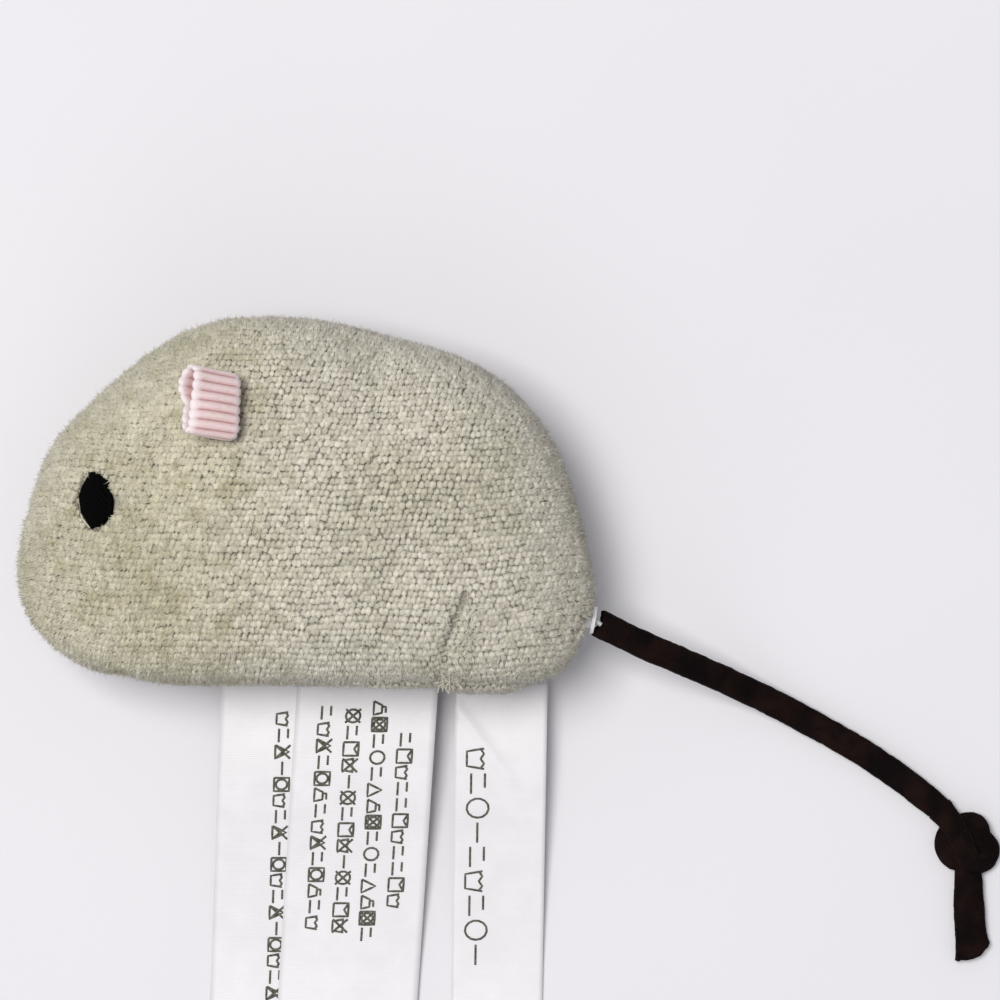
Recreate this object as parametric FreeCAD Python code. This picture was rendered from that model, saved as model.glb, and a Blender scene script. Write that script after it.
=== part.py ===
"""Pull-tail clockwork mouse: a plush cat toy lying on its right side, with a cord-wound vibration motor inside.

Frame: millimetres, +Z up. The mouse lies on its right side, so -X is its nose, +X its tail, +Y its back and
-Y its base. The origin is on the floor, under the middle of the body. The motor's shafts stand along Z.
The fabric pieces are plain closed solids of the right size and place.
"""
import math
import os

import FreeCAD
import Part

V = FreeCAD.Vector
UP = V(0, 0, 1)

# ---- Driving dimensions of the sewn body ----
NOSE_X, RUMP_X = -36.6, 36.0          # ends of the body, 72.6 mm apart
NOSE_Y, RUMP_Y = -7.2, -11.6          # height of the nose tip and of the rearmost point
BACK = [(-34.2, 1.4), (-29.2, 9.9), (-19.3, 18.8), (-9.4, 23.3),
        (7.9, 21.4), (22.8, 16.6), (30.2, 8.4), (34.6, -3.0)]
BELLY = [(-34.4, -15.1), (-28.6, -20.3), (-16.0, -23.6),
         (6.0, -24.3), (24.0, -24.1), (31.6, -20.6), (34.8, -16.4)]
HALF_THICK = 15.3                     # the body's half thickness where it is widest
WIDEST_X = 6.0
MID_Z = 14.5                          # the seam plane between the two side panels
BASE_Y = -23.3                        # the flat base that the toy runs on
SKIN = 1.4                            # fabric with its pile
SOFT_GAP = 0.05                       # between the skin and the wadding
ROUND_BACK, SQUARE_BELLY = 2.3, 3.2   # how boxy a section is above and below its middle
STATIONS = 12
SECTION_POINTS = 16
BIG = 200.0

# ---- Trim ----
EYE_AT, EYE_SIZE, EYE_PROUD = (-25.1, 0.5), (4.1, 6.2), 0.6
RIBBON_WIDTH, RIBBON_THICK = 6.0, 0.45
EAR_LONG, EAR_DEEP = 8.2, 3.2
EAR_TILT, EAR_ROLL = 35.0, -16.0      # front edge lifted, and leaning with the curve of the head
EAR_REAR_X, EAR_Y = -9.1, 11.3        # the ear's stitched rear edge
EAR_FLAT = 1.0                        # the right ear, pressed flat under the head
EAR_CLEAR = 0.35
LABEL_THICK = 0.3
LABEL_END_Y = -69.0
SEAM_Z = 4.7                          # the lower base seam, where the labels are sewn in
LABEL_GAP = 0.12
STITCH_RADIUS, STITCH_LONG, STITCH_PITCH = 0.22, 1.7, 2.6
BACK_STITCH_X = (-4.0, 16.0)          # the seam opening closed by hand, along the back

# ---- Pull cord and tail ----
LINE_TURN, PULL_TURN = -10.0, -27.0   # in degrees about Z from +X: the line inside, and the tail outside
EXIT = V(35.0, -14.3, MID_Z)          # where the line passes through the rump seam
LINE_RADIUS = 0.35
LINE_START = 3.2                      # where the line is clear of the winding, past the drum's tangent
TAIL_RADIUS = 1.65
TAIL_ROUTE = [
    (36.3, -14.8, 14.5), (41.4, -17.4, 13.3), (49.1, -20.7, 8.6), (55.8, -23.8, 3.7),
    (62.1, -27.3, 1.8), (73.7, -34.5, 1.7), (81.0, -40.9, 1.7),
]
KNOT_AT, KNOT_SIZE = V(83.3, -42.9, 3.25), V(8.4, 7.8, 6.3)
TAIL_END_ROUTE = [(83.5, -46.0, 1.75), (83.2, -51.6, 1.7), (84.4, -57.9, 1.7)]
EYELET_TUBE, EYELET_FLANGE, EYELET_BORE, WASHER_RADIUS = 1.1, 1.7, 0.6, 2.5
EYELET_RIM = (0.35, 0.8)              # the flange's two faces, along the line

# ---- Motor, in its own frame: x along the pull, z from the tray's underside ----
DRUM_TO_EXIT = 46.0                   # from the drum's tangent point to the exit
WALL, FLOOR, COVER = 1.2, 1.2, 1.4
CASE_HEIGHT = 14.7
WINDING_Z = (6.0, 8.4)                # the drum's winding groove
MODULE, PRESSURE = 0.5, math.radians(28)
DRUM_TEETH, WHEEL_TEETH, PINION_TEETH = 34, 28, 10
BACKLASH = 0.10
CORE_RADIUS = 5.5                     # the line winds on this
WIND_RADIUS = CORE_RADIUS + LINE_RADIUS
PIN_RADIUS, RUNNING = 0.75, 0.05
IDLER_ANGLE, WEIGHT_ANGLE = -20.0, 35.0
WEIGHT_RADIUS = 5.4
SCREW_RADIUS, BOSS_RADIUS = 0.8, 1.9

DRUM_AT = V(0, WIND_RADIUS, 0)


def polar(radius, degrees):
    return V(radius * math.cos(math.radians(degrees)), radius * math.sin(math.radians(degrees)), 0)


IDLER_AT = DRUM_AT + polar(MODULE * (DRUM_TEETH + PINION_TEETH) / 2, IDLER_ANGLE)
WEIGHT_AT = IDLER_AT + polar(MODULE * (WHEEL_TEETH + PINION_TEETH) / 2, WEIGHT_ANGLE)
CASE_X = (-10.9, WEIGHT_AT.x + WEIGHT_RADIUS + 1.8)
CASE_Y = (-7.2, DRUM_AT.y + 10.9)

LINE, PULL = polar(1, LINE_TURN), polar(1, PULL_TURN)
MOTOR_PLACE = FreeCAD.Placement(EXIT - LINE * DRUM_TO_EXIT - UP * sum(WINDING_Z) / 2,
                                FreeCAD.Rotation(UP, LINE_TURN))
MOUTH = EXIT + LINE * EYELET_RIM[1]           # the eyelet's outer mouth, where the line turns towards the tail


# ---- Small helpers ----
def cylinder(radius, z, at=V(0, 0, 0)):
    return Part.makeCylinder(radius, z[1] - z[0], V(at.x, at.y, z[0]))


def ring(outer, inner, z, at=V(0, 0, 0)):
    return cylinder(outer, z, at).cut(cylinder(inner, z, at))


def block(x, y, z):
    return Part.makeBox(x[1] - x[0], y[1] - y[0], z[1] - z[0], V(x[0], y[0], z[0]))


def round_block(x, y, z, radius):
    """A box whose upright edges are rounded."""
    solid = block(x, y, z)
    upright = [e for e in solid.Edges if abs(e.tangentAt(e.FirstParameter).z) > 0.9]
    return solid.makeFillet(radius, upright)


def placed(shape, place=MOTOR_PLACE):
    moved = shape.copy()
    moved.Placement = place.multiply(moved.Placement)
    return moved


def rod(start, end, radius):
    return Part.makeCylinder(radius, (end - start).Length, start, end - start)


# ---- The body's shape ----
def outline(points):
    """A smooth edge of the side view, from the nose to the rump."""
    curve = Part.BSplineCurve()
    curve.interpolate([V(NOSE_X, NOSE_Y, 0)] + [V(x, y, 0) for x, y in points] + [V(RUMP_X, RUMP_Y, 0)])
    return curve


def height_at(curve, x):
    """The outline's y where it passes x, found by halving."""
    low, high = curve.FirstParameter, curve.LastParameter
    for _ in range(40):
        middle = (low + high) / 2
        if curve.value(middle).x < x:
            low = middle
        else:
            high = middle
    return curve.value(low).y


def half_thickness(x):
    """The body is widest over the hips and narrows more slowly towards the nose."""
    if x < WIDEST_X:
        share, sharp, swell = (WIDEST_X - x) / (WIDEST_X - NOSE_X), 2.2, 0.55
    else:
        share, sharp, swell = (x - WIDEST_X) / (RUMP_X - WIDEST_X), 2.6, 0.5
    return HALF_THICK * (1 - share ** sharp) ** swell


def section(x, top, bottom, half):
    """A closed section across the body: rounder above its middle, boxier below."""
    middle, reach = (top + bottom) / 2, (top - bottom) / 2
    points = []
    for k in range(SECTION_POINTS):
        angle = 2 * math.pi * k / SECTION_POINTS
        across, along = math.cos(angle), math.sin(angle)
        boxy = 2 / (ROUND_BACK if along > 0 else SQUARE_BELLY)
        points.append(V(x, middle + reach * math.copysign(abs(along) ** boxy, along),
                        MID_Z + half * math.copysign(abs(across) ** boxy, across)))
    curve = Part.BSplineCurve()
    curve.interpolate(Points=points, PeriodicFlag=True)
    return Part.Wire([curve.toShape()])


def body(inset):
    """The stuffed body, taken in all round by inset, with its flat base and the side that it lies on."""
    back, belly = outline(BACK), outline(BELLY)
    centre, half_long = (NOSE_X + RUMP_X) / 2, (RUMP_X - NOSE_X) / 2
    shrink = (half_long - inset) / half_long
    profiles = [Part.Vertex(V(NOSE_X + inset, NOSE_Y, MID_Z))]
    for k in range(1, STATIONS):
        x = centre - half_long * math.cos(math.pi * k / STATIONS)
        profiles.append(section(centre + (x - centre) * shrink, height_at(back, x) - inset,
                                height_at(belly, x) + inset, half_thickness(x) - inset))
    profiles.append(Part.Vertex(V(RUMP_X - inset, RUMP_Y, MID_Z)))
    solid = Part.makeLoft(profiles, True, False)
    return solid.common(block((-BIG, BIG), (BASE_Y + inset, BIG), (inset, BIG)))


def skin_pieces(outer):
    """The two side panels, split by the seam plane, and the flat base panel between them."""
    shell = outer.cut(body(SKIN))
    shell = shell.cut(rod(EXIT - LINE * 6, EXIT + LINE * 6, EYELET_TUBE + 0.02))
    shell = shell.cut(rod(EXIT + LINE * (EYELET_RIM[0] - 0.05), EXIT + LINE * 6, EYELET_FLANGE + 0.05))
    base_top = BASE_Y + SKIN
    base = shell.common(block((-BIG, BIG), (-BIG, base_top), (-BIG, BIG)))
    sides = shell.common(block((-BIG, BIG), (base_top, BIG), (-BIG, BIG)))
    left = sides.common(block((-BIG, BIG), (-BIG, BIG), (MID_Z, BIG)))
    right = sides.common(block((-BIG, BIG), (-BIG, BIG), (-BIG, MID_Z))).cut(right_ear_dent())
    return {"side_panel_left": left, "side_panel_right": right, "base_panel": base}


def wadding():
    """Polyester filling round the motor, in a front and a rear handful."""
    filling = body(SKIN + SOFT_GAP)
    room_x, room_y = [(low - SOFT_GAP, high + SOFT_GAP) for low, high in (CASE_X, CASE_Y)]
    room = placed(block(room_x, room_y, (-SOFT_GAP, CASE_HEIGHT + SCREW_HEAD + SOFT_GAP)))
    channel = rod(EXIT - LINE * 30, EXIT, LINE_RADIUS + 0.5)
    backing = rod(EXIT - LINE * 4.4, EXIT + LINE * 2, WASHER_RADIUS + 0.1)
    filling = filling.cut(room).cut(channel).cut(backing)
    split = 2.0
    return {
        "wadding_front": filling.common(block((-BIG, split), (-BIG, BIG), (-BIG, BIG))),
        "wadding_rear": filling.common(block((split, BIG), (-BIG, BIG), (-BIG, BIG))),
    }


# ---- Trim ----


def eyes(outer):
    """Two satin-stitched ovals that follow the head, one on each side."""
    proud = body(-EYE_PROUD)
    wide, tall = EYE_SIZE
    oval = Part.Ellipse(V(*EYE_AT, 0), tall / 2, wide / 2)
    oval.rotate(FreeCAD.Placement(V(*EYE_AT, 0), FreeCAD.Rotation(UP, 90), V(0, 0, 0)))
    face = Part.Face(Part.Wire([oval.toShape()]))
    pads = {}
    for name, lift in (("eye_left", MID_Z), ("eye_right", -BIG + MID_Z)):
        column = face.extrude(V(0, 0, BIG))
        column.translate(V(0, 0, lift))
        pads[name] = proud.cut(outer).common(column)
    return pads


def ribbon_loop(long, deep):
    """A flat loop of ribbon lying in the XY plane, its opening along X, with its rear edge at x = 0."""
    def stadium(inset):
        half, radius = long / 2 - inset, deep / 2 - inset
        straight = half - radius
        low, high = V(0, -straight, inset), V(0, straight, inset)
        middle_out, middle_in = V(0, half, deep / 2), V(0, -half, deep / 2)
        top_high, top_low = V(0, straight, deep - inset), V(0, -straight, deep - inset)
        edges = [Part.LineSegment(low, high), Part.Arc(high, middle_out, top_high),
                 Part.LineSegment(top_high, top_low), Part.Arc(top_low, middle_in, low)]
        return Part.Face(Part.Wire([e.toShape() for e in edges]))
    loop = stadium(0).cut(stadium(RIBBON_THICK))
    return loop.extrude(V(-RIBBON_WIDTH, 0, 0))


def right_ear_dent():
    """The hollow that the flattened right ear presses in the panel above it."""
    x, y = (EAR_REAR_X - RIBBON_WIDTH, EAR_REAR_X), (EAR_Y - EAR_LONG / 2, EAR_Y + EAR_LONG / 2)
    return block((x[0] - 0.15, x[1] + 0.15), (y[0] - 0.15, y[1] + 0.15), (-1, EAR_FLAT + 0.22))


def ears(outer):
    """Ribbon loops stitched down along their rear edge: the left stands up, the right is pressed flat."""
    probe = outer.common(Part.makeLine(V(EAR_REAR_X, EAR_Y, MID_Z), V(EAR_REAR_X, EAR_Y, BIG)))
    surface_z = probe.BoundBox.ZMax
    left = ribbon_loop(EAR_LONG, EAR_DEEP)
    left.rotate(V(0, 0, 0), V(0, 1, 0), EAR_TILT)
    left.rotate(V(0, 0, 0), V(1, 0, 0), EAR_ROLL)
    left.translate(V(EAR_REAR_X, EAR_Y, surface_z + EAR_CLEAR))
    print("left ear's hinge at z", round(surface_z + EAR_CLEAR, 3))
    right = ribbon_loop(EAR_LONG, EAR_FLAT)
    right.translate(V(EAR_REAR_X, EAR_Y, 0.12))
    return {"ear_left": left, "ear_right": right}


def label(x_left, x_right, lift, drift):
    """A satin tape that leaves the base seam, drops to the floor and drifts sideways towards its end."""
    lower = [(BASE_Y - LABEL_GAP, SEAM_Z - 0.4), (BASE_Y - 4.5, 0.5), (BASE_Y - 8.5, LABEL_GAP),
             (LABEL_END_Y, LABEL_GAP)]
    upper = [(y, z + LABEL_THICK) for y, z in lower]
    side = [V(-BIG, y, z + lift) for y, z in lower + upper[::-1]]
    tape = Part.Face(Part.makePolygon(side + side[:1])).extrude(V(2 * BIG, 0, 0))
    corners = [V(x_left, BASE_Y, 0), V(x_right, BASE_Y, 0),
               V(x_right + drift, LABEL_END_Y, 0), V(x_left + drift, LABEL_END_Y, 0)]
    cut = Part.Face(Part.makePolygon(corners + corners[:1])).extrude(UP * BIG)
    return tape.common(cut)


def labels():
    step = LABEL_THICK + 0.06
    return {
        "care_label_lower": label(-11.2, 6.3, 0.0, -2.0),
        "care_label_upper": label(-1.6, 16.2, step, -3.1),
        "contents_label": label(18.4, 30.0, 0.0, -0.7),
    }


def back_stitches(outer):
    """The ladder stitches that close the back seam over the motor: short bars of thread laid across it."""
    back = outline(BACK)
    bars = []
    x = BACK_STITCH_X[0]
    while x < BACK_STITCH_X[1]:
        top = height_at(back, x) + STITCH_RADIUS + 0.1
        middle = V(x, top, MID_Z)
        bars.append(rod(middle - UP * STITCH_LONG / 2, middle + UP * STITCH_LONG / 2, STITCH_RADIUS))
        x += STITCH_PITCH
    return Part.Compound([bar.cut(outer) for bar in bars])


def eyelet():
    """A white plastic eyelet through the rump seam: a tube with an outer flange."""
    tube = rod(EXIT - LINE * 3.4, MOUTH, EYELET_TUBE)
    rim = rod(EXIT + LINE * EYELET_RIM[0], MOUTH, EYELET_FLANGE)
    return tube.fuse(rim).cut(rod(EXIT - LINE * 5, EXIT + LINE * 5, EYELET_BORE)).removeSplitter()


def eyelet_washer():
    """The backing washer that holds the eyelet from inside."""
    disc = rod(EXIT - LINE * 3.3, EXIT - LINE * 2.5, WASHER_RADIUS)
    return disc.cut(rod(EXIT - LINE * 5, EXIT, EYELET_TUBE))


# ---- Tail ----
def cord_tube(points, radius, name):
    """A round cord along straight runs joined by arcs as large as the runs allow."""
    route = [V(*p) for p in points]
    edges, start, radii = [], route[0], []
    for before, corner, after in zip(route, route[1:], route[2:]):
        come, go = (corner - before), (after - corner)
        reach = 0.45 * min(come.Length, go.Length)
        come.normalize()
        go.normalize()
        half_turn = come.getAngle(go) / 2
        radii.append(reach / math.tan(half_turn))
        enter, leave = corner - come * reach, corner + go * reach
        to_centre = (go - come).normalize()
        middle = corner + to_centre * radii[-1] * (1 / math.cos(half_turn) - 1)
        edges += [Part.LineSegment(start, enter).toShape(), Part.Arc(enter, middle, leave).toShape()]
        start = leave
    edges.append(Part.LineSegment(start, route[-1]).toShape())
    path = Part.Wire(edges)
    disc = Part.Wire([Part.Circle(route[0], route[1] - route[0], radius).toShape()])
    tube = path.makePipeShell([disc], True, False)
    print(name, "length", round(path.Length, 1), "radii", [round(r, 1) for r in radii],
          "volume over section times length", round(tube.Volume / (math.pi * radius ** 2 * path.Length), 4))
    return tube


def knot():
    """The outer shape of the overhand knot: a lump about two and a half cords across."""
    lump = Part.makeSphere(0.5)
    stretch = FreeCAD.Matrix()
    stretch.scale(KNOT_SIZE)
    lump = lump.transformGeometry(stretch)
    lump.translate(KNOT_AT)
    return lump


def tail():
    cord = cord_tube(TAIL_ROUTE, TAIL_RADIUS, "tail_cord")
    stub = cord_tube(TAIL_END_ROUTE, TAIL_RADIUS, "tail_end")
    lump = knot()
    inside = rod(EXIT - LINE * (DRUM_TO_EXIT - LINE_START), MOUTH, LINE_RADIUS)
    corner = Part.makeSphere(LINE_RADIUS, MOUTH)
    outside = rod(MOUTH, V(*TAIL_ROUTE[0]), LINE_RADIUS)
    return {
        "tail_cord": cord.cut(lump),
        "tail_knot": lump,
        "tail_end": stub.cut(lump),
        "pull_line": inside.multiFuse([corner, outside]).cut(cord).removeSplitter(),
    }


# ---- Motor ----
def involute(base_radius, radius):
    """The angle that an involute has turned through where it reaches a radius."""
    tilt = math.acos(min(1.0, base_radius / radius))
    return math.tan(tilt) - tilt


def gear(teeth, z, at, turn):
    """A spur gear with involute flanks, one tooth centred at the angle turn, in degrees."""
    pitch = MODULE * teeth / 2
    base, tip, root = pitch * math.cos(PRESSURE), pitch + 0.9 * MODULE, pitch - 1.15 * MODULE
    half_tooth = (math.pi * MODULE / 2 - BACKLASH / 2) / (2 * pitch)
    low = max(base, root) * 1.0005

    def flank_point(radius, side, centre):
        angle = centre + side * (half_tooth + involute(base, pitch) - involute(base, radius))
        return V(at.x + radius * math.cos(angle), at.y + radius * math.sin(angle), z[0])

    def at_root(side, centre):
        reach = flank_point(low, side, centre) - V(at.x, at.y, z[0])
        return V(at.x, at.y, z[0]) + reach.normalize() * root

    edges = []
    radii = [low + (tip - low) * share for share in (0, 0.35, 0.7, 1)]
    for k in range(teeth):
        centre = math.radians(turn) + 2 * math.pi * k / teeth
        following = centre + 2 * math.pi / teeth
        for side in (-1, 1):
            points = [flank_point(r, side, centre) for r in (radii if side < 0 else radii[::-1])]
            flank = Part.BSplineCurve()
            flank.interpolate(points)
            foot = at_root(side, centre)
            if side < 0:
                edges.append(Part.LineSegment(foot, points[0]).toShape())
                edges.append(flank.toShape())
                crown = V(at.x + tip * math.cos(centre), at.y + tip * math.sin(centre), z[0])
                edges.append(Part.Arc(points[-1], crown, flank_point(tip, 1, centre)).toShape())
            else:
                edges.append(flank.toShape())
                edges.append(Part.LineSegment(points[-1], foot).toShape())
        gap = (centre + following) / 2
        valley = V(at.x + root * math.cos(gap), at.y + root * math.sin(gap), z[0])
        edges.append(Part.Arc(at_root(1, centre), valley, at_root(-1, following)).toShape())
    return Part.Face(Part.Wire(edges)).extrude(V(0, 0, z[1] - z[0]))


CUP_RADIUS, CUP_WALL, WEB = 7.6, 0.8, 0.8
DRUM_Z = (FLOOR + 0.3, WINDING_Z[1] + 2.0)
GEAR_Z = (WINDING_Z[1], DRUM_Z[1])
WHEEL_Z = (DRUM_Z[1] + 0.5, DRUM_Z[1] + 2.1)
INSIDE_TOP = CASE_HEIGHT - COVER
HUB_RADIUS = 1.9
SPRING_POST = 2.0                     # the tray's post inside the drum's cup
SCREW_HEAD = 0.7
BORE = PIN_RADIUS + RUNNING


def cord_drum():
    """The drum: a cup for the spring, a groove for the line and a 34-tooth gear, moulded as one."""
    cup = ring(CUP_RADIUS, CUP_RADIUS - CUP_WALL, (DRUM_Z[0], WINDING_Z[0] - WEB), DRUM_AT)
    web = cylinder(CUP_RADIUS, (WINDING_Z[0] - WEB, WINDING_Z[0]), DRUM_AT)
    core = cylinder(CORE_RADIUS, WINDING_Z, DRUM_AT)
    teeth = gear(DRUM_TEETH, GEAR_Z, DRUM_AT, IDLER_ANGLE)
    collar = cylinder(HUB_RADIUS, (GEAR_Z[1], GEAR_Z[1] + 0.3), DRUM_AT)
    solid = cup.multiFuse([web, core, teeth, collar])
    for k in range(6):
        solid = solid.cut(cylinder(0.9, (WINDING_Z[0] - WEB, GEAR_Z[1]), DRUM_AT + polar(3.7, 60 * k + 30)))
    return solid.cut(cylinder(BORE, (0, CASE_HEIGHT), DRUM_AT)).removeSplitter()


def wound_line():
    """What is wound on the drum with the tail home: turns of the line side by side in the groove."""
    turns = 3
    first = (sum(WINDING_Z) - (turns - 1) * 2 * LINE_RADIUS) / 2
    clear = 0.01
    heights = [first + 2 * LINE_RADIUS * k for k in range(turns)]
    return Part.Compound([Part.makeTorus(WIND_RADIUS, LINE_RADIUS - clear, DRUM_AT + UP * z) for z in heights])


def return_spring():
    """A flat spiral spring in the drum's cup, anchored to the tray's post."""
    strip, height = 0.18, (DRUM_Z[0] + 0.25, WINDING_Z[0] - WEB - 0.25)
    inner, outer, turns, steps = SPRING_POST + 0.25, CUP_RADIUS - CUP_WALL - 0.45, 5, 12

    def spiral(offset):
        points = []
        for k in range(turns * steps + 1):
            share = k / (turns * steps)
            radius = inner + (outer - inner) * share + offset
            points.append(DRUM_AT + polar(radius, 360 * turns * share) + UP * height[0])
        curve = Part.BSplineCurve()
        curve.interpolate(points)
        return curve.toShape(), points[0], points[-1]

    near, near_start, near_end = spiral(0)
    far, far_start, far_end = spiral(strip)
    wire = Part.Wire([near, Part.LineSegment(near_end, far_end).toShape(), far,
                      Part.LineSegment(far_start, near_start).toShape()])
    return Part.Face(wire).extrude(V(0, 0, height[1] - height[0]))


def idler_gear():
    """A 10-tooth pinion under a 28-tooth wheel, moulded as one."""
    sleeve = cylinder(1.3, (FLOOR + 0.3, WHEEL_Z[1] + 0.3), IDLER_AT)
    pinion = gear(PINION_TEETH, (GEAR_Z[0] - 0.2, WHEEL_Z[0]), IDLER_AT, IDLER_ANGLE + 180 + 180 / PINION_TEETH)
    wheel = gear(WHEEL_TEETH, WHEEL_Z, IDLER_AT, WEIGHT_ANGLE)
    solid = sleeve.multiFuse([pinion, wheel])
    for k in range(5):
        solid = solid.cut(cylinder(1.0, WHEEL_Z, IDLER_AT + polar(4.6, 72 * k)))
    return solid.cut(cylinder(BORE, (0, CASE_HEIGHT), IDLER_AT)).removeSplitter()


WEIGHT_Z = (FLOOR + 1.2, GEAR_Z[1] - 0.4)


def weight_pinion():
    """The 10-tooth pinion and sleeve that the weight is pressed on."""
    sleeve = cylinder(1.4, (FLOOR + 0.3, WHEEL_Z[1] + 0.5), WEIGHT_AT)
    collar = cylinder(2.0, (FLOOR + 0.3, WEIGHT_Z[0]), WEIGHT_AT)
    teeth = gear(PINION_TEETH, (WHEEL_Z[0] - 0.3, WHEEL_Z[1] + 0.3), WEIGHT_AT,
                 WEIGHT_ANGLE + 180 + 180 / PINION_TEETH)
    return sleeve.multiFuse([collar, teeth]).cut(cylinder(BORE, (0, CASE_HEIGHT), WEIGHT_AT)).removeSplitter()


def eccentric_weight():
    """A half disc of zinc round the sleeve: it is what shakes the toy."""
    disc = cylinder(WEIGHT_RADIUS, WEIGHT_Z, WEIGHT_AT)
    half = block((WEIGHT_AT.x - 0.6, WEIGHT_AT.x + 10), (WEIGHT_AT.y - 10, WEIGHT_AT.y + 10), WEIGHT_Z)
    boss = cylinder(2.4, WEIGHT_Z, WEIGHT_AT)
    return disc.common(half).fuse(boss).cut(cylinder(1.4, WEIGHT_Z, WEIGHT_AT)).removeSplitter()


def boss_places():
    inset = BOSS_RADIUS + WALL - 0.4
    low_x, high_x = CASE_X[0] + inset, CASE_X[1] - inset
    low_y, high_y = CASE_Y[0] + inset, CASE_Y[1] - inset
    return [V(low_x, low_y, 0), V(low_x, high_y, 0), V(high_x, high_y, 0), V(high_x, low_y, 0)]


def pin_places():
    return {"drum_axle": DRUM_AT, "idler_axle": IDLER_AT, "weight_axle": WEIGHT_AT}


LINE_BUSH = 1.6


def case_tray():
    """The open tray: floor, walls, screw bosses, pin sockets and the spring's post."""
    z = (0, INSIDE_TOP)
    outer = round_block(CASE_X, CASE_Y, z, 1.5)
    inner = block((CASE_X[0] + WALL, CASE_X[1] - WALL), (CASE_Y[0] + WALL, CASE_Y[1] - WALL), (FLOOR, INSIDE_TOP))
    solid = outer.cut(inner)
    solid = solid.multiFuse([cylinder(BOSS_RADIUS, (FLOOR - 0.2, INSIDE_TOP), at) for at in boss_places()])
    solid = solid.fuse(cylinder(SPRING_POST, (FLOOR - 0.2, WINDING_Z[0] - WEB - 0.3), DRUM_AT))
    for at in boss_places():
        solid = solid.cut(cylinder(SCREW_RADIUS, (INSIDE_TOP - 8, INSIDE_TOP), at))
    for at in pin_places().values():
        solid = solid.cut(cylinder(PIN_RADIUS, (0.4, INSIDE_TOP), at))
    outlet_z = sum(WINDING_Z) / 2
    outlet = rod(V(CASE_X[1] - 3, 0, outlet_z), V(CASE_X[1] + 3, 0, outlet_z), LINE_BUSH)
    trimmed = outer.common(solid)
    return trimmed.cut(outlet).removeSplitter()


def case_cover():
    """The flat cover, with a blind socket for each pin and a clear hole for each screw."""
    z = (INSIDE_TOP, CASE_HEIGHT)
    solid = round_block(CASE_X, CASE_Y, z, 1.5)
    for at in boss_places():
        solid = solid.cut(cylinder(SCREW_RADIUS + 0.15, z, at))
    for at in pin_places().values():
        solid = solid.cut(cylinder(PIN_RADIUS, (INSIDE_TOP, INSIDE_TOP + 0.9), at))
    return solid.removeSplitter()


def case_screws():
    """Four self-tapping screws with cross-recessed pan heads."""
    screws = []
    for at in boss_places():
        shank = cylinder(SCREW_RADIUS, (INSIDE_TOP - 6.5, CASE_HEIGHT), at)
        head = cylinder(1.5, (CASE_HEIGHT, CASE_HEIGHT + SCREW_HEAD), at)
        recess_z = (CASE_HEIGHT + 0.3, CASE_HEIGHT + SCREW_HEAD)
        slots = [block((at.x - 0.9, at.x + 0.9), (at.y - 0.18, at.y + 0.18), recess_z),
                 block((at.x - 0.18, at.x + 0.18), (at.y - 0.9, at.y + 0.9), recess_z)]
        screws.append(shank.fuse(head).cut(slots[0]).cut(slots[1]).removeSplitter())
    return Part.Compound(screws)


def line_bush():
    """A smooth bush in the tray's rear wall, so that the line doesn't wear it."""
    z = sum(WINDING_Z) / 2
    wall_x = (CASE_X[1] - WALL, CASE_X[1])
    barrel = rod(V(wall_x[0], 0, z), V(wall_x[1], 0, z), LINE_BUSH)
    lip = rod(V(wall_x[0] - 0.5, 0, z), V(wall_x[0], 0, z), LINE_BUSH + 0.6)
    bore = rod(V(wall_x[0] - 2, 0, z), V(wall_x[1] + 2, 0, z), LINE_RADIUS + 0.2)
    return barrel.fuse(lip).cut(bore).removeSplitter()


def motor():
    pins = {name: cylinder(PIN_RADIUS, (0.4, INSIDE_TOP + 0.9), at) for name, at in pin_places().items()}
    parts = {
        "case_tray": case_tray(), "case_cover": case_cover(), "case_screws": case_screws(), "line_bush": line_bush(),
        "cord_drum": cord_drum(), "wound_line": wound_line(), "return_spring": return_spring(),
        "idler_gear": idler_gear(), "weight_pinion": weight_pinion(), "eccentric_weight": eccentric_weight(), **pins,
    }
    return {name: placed(shape) for name, shape in parts.items()}


def main():
    outer = body(0)
    parts = {
        **skin_pieces(outer), **wadding(), **eyes(outer), **ears(outer), **labels(),
        "back_stitches": back_stitches(outer), "tail_eyelet": eyelet(), "eyelet_washer": eyelet_washer(),
        **tail(), **motor(),
    }
    os.makedirs("parts", exist_ok=True)
    for name, shape in parts.items():
        solids = shape.Solids
        if not solids or not shape.isValid():
            print("CHECK", name, "solids", len(solids), "valid", shape.isValid())
        made = solids[0] if len(solids) == 1 else Part.Compound(solids)
        made.exportStep(f"parts/{name}.step")
        box = made.BoundBox
        print(f"{name}: {len(solids)} solid(s), {made.Volume:.1f} mm3, "
              f"x {box.XMin:.1f}..{box.XMax:.1f}, y {box.YMin:.1f}..{box.YMax:.1f}, z {box.ZMin:.2f}..{box.ZMax:.2f}")
    print("exit", EXIT, "mouth", MOUTH, "pull", PULL)
    for name, at in pin_places().items():
        print(name, "on", placed(Part.Vertex(at)).Point)


main()
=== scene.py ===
"""A pull-tail plush mouse, lying on its right side: how every piece of it is made and finished."""
import math

import bmesh
import bpy
import numpy as np
from mathutils import Matrix, Vector, noise
from mathutils.bvhtree import BVHTree


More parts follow.
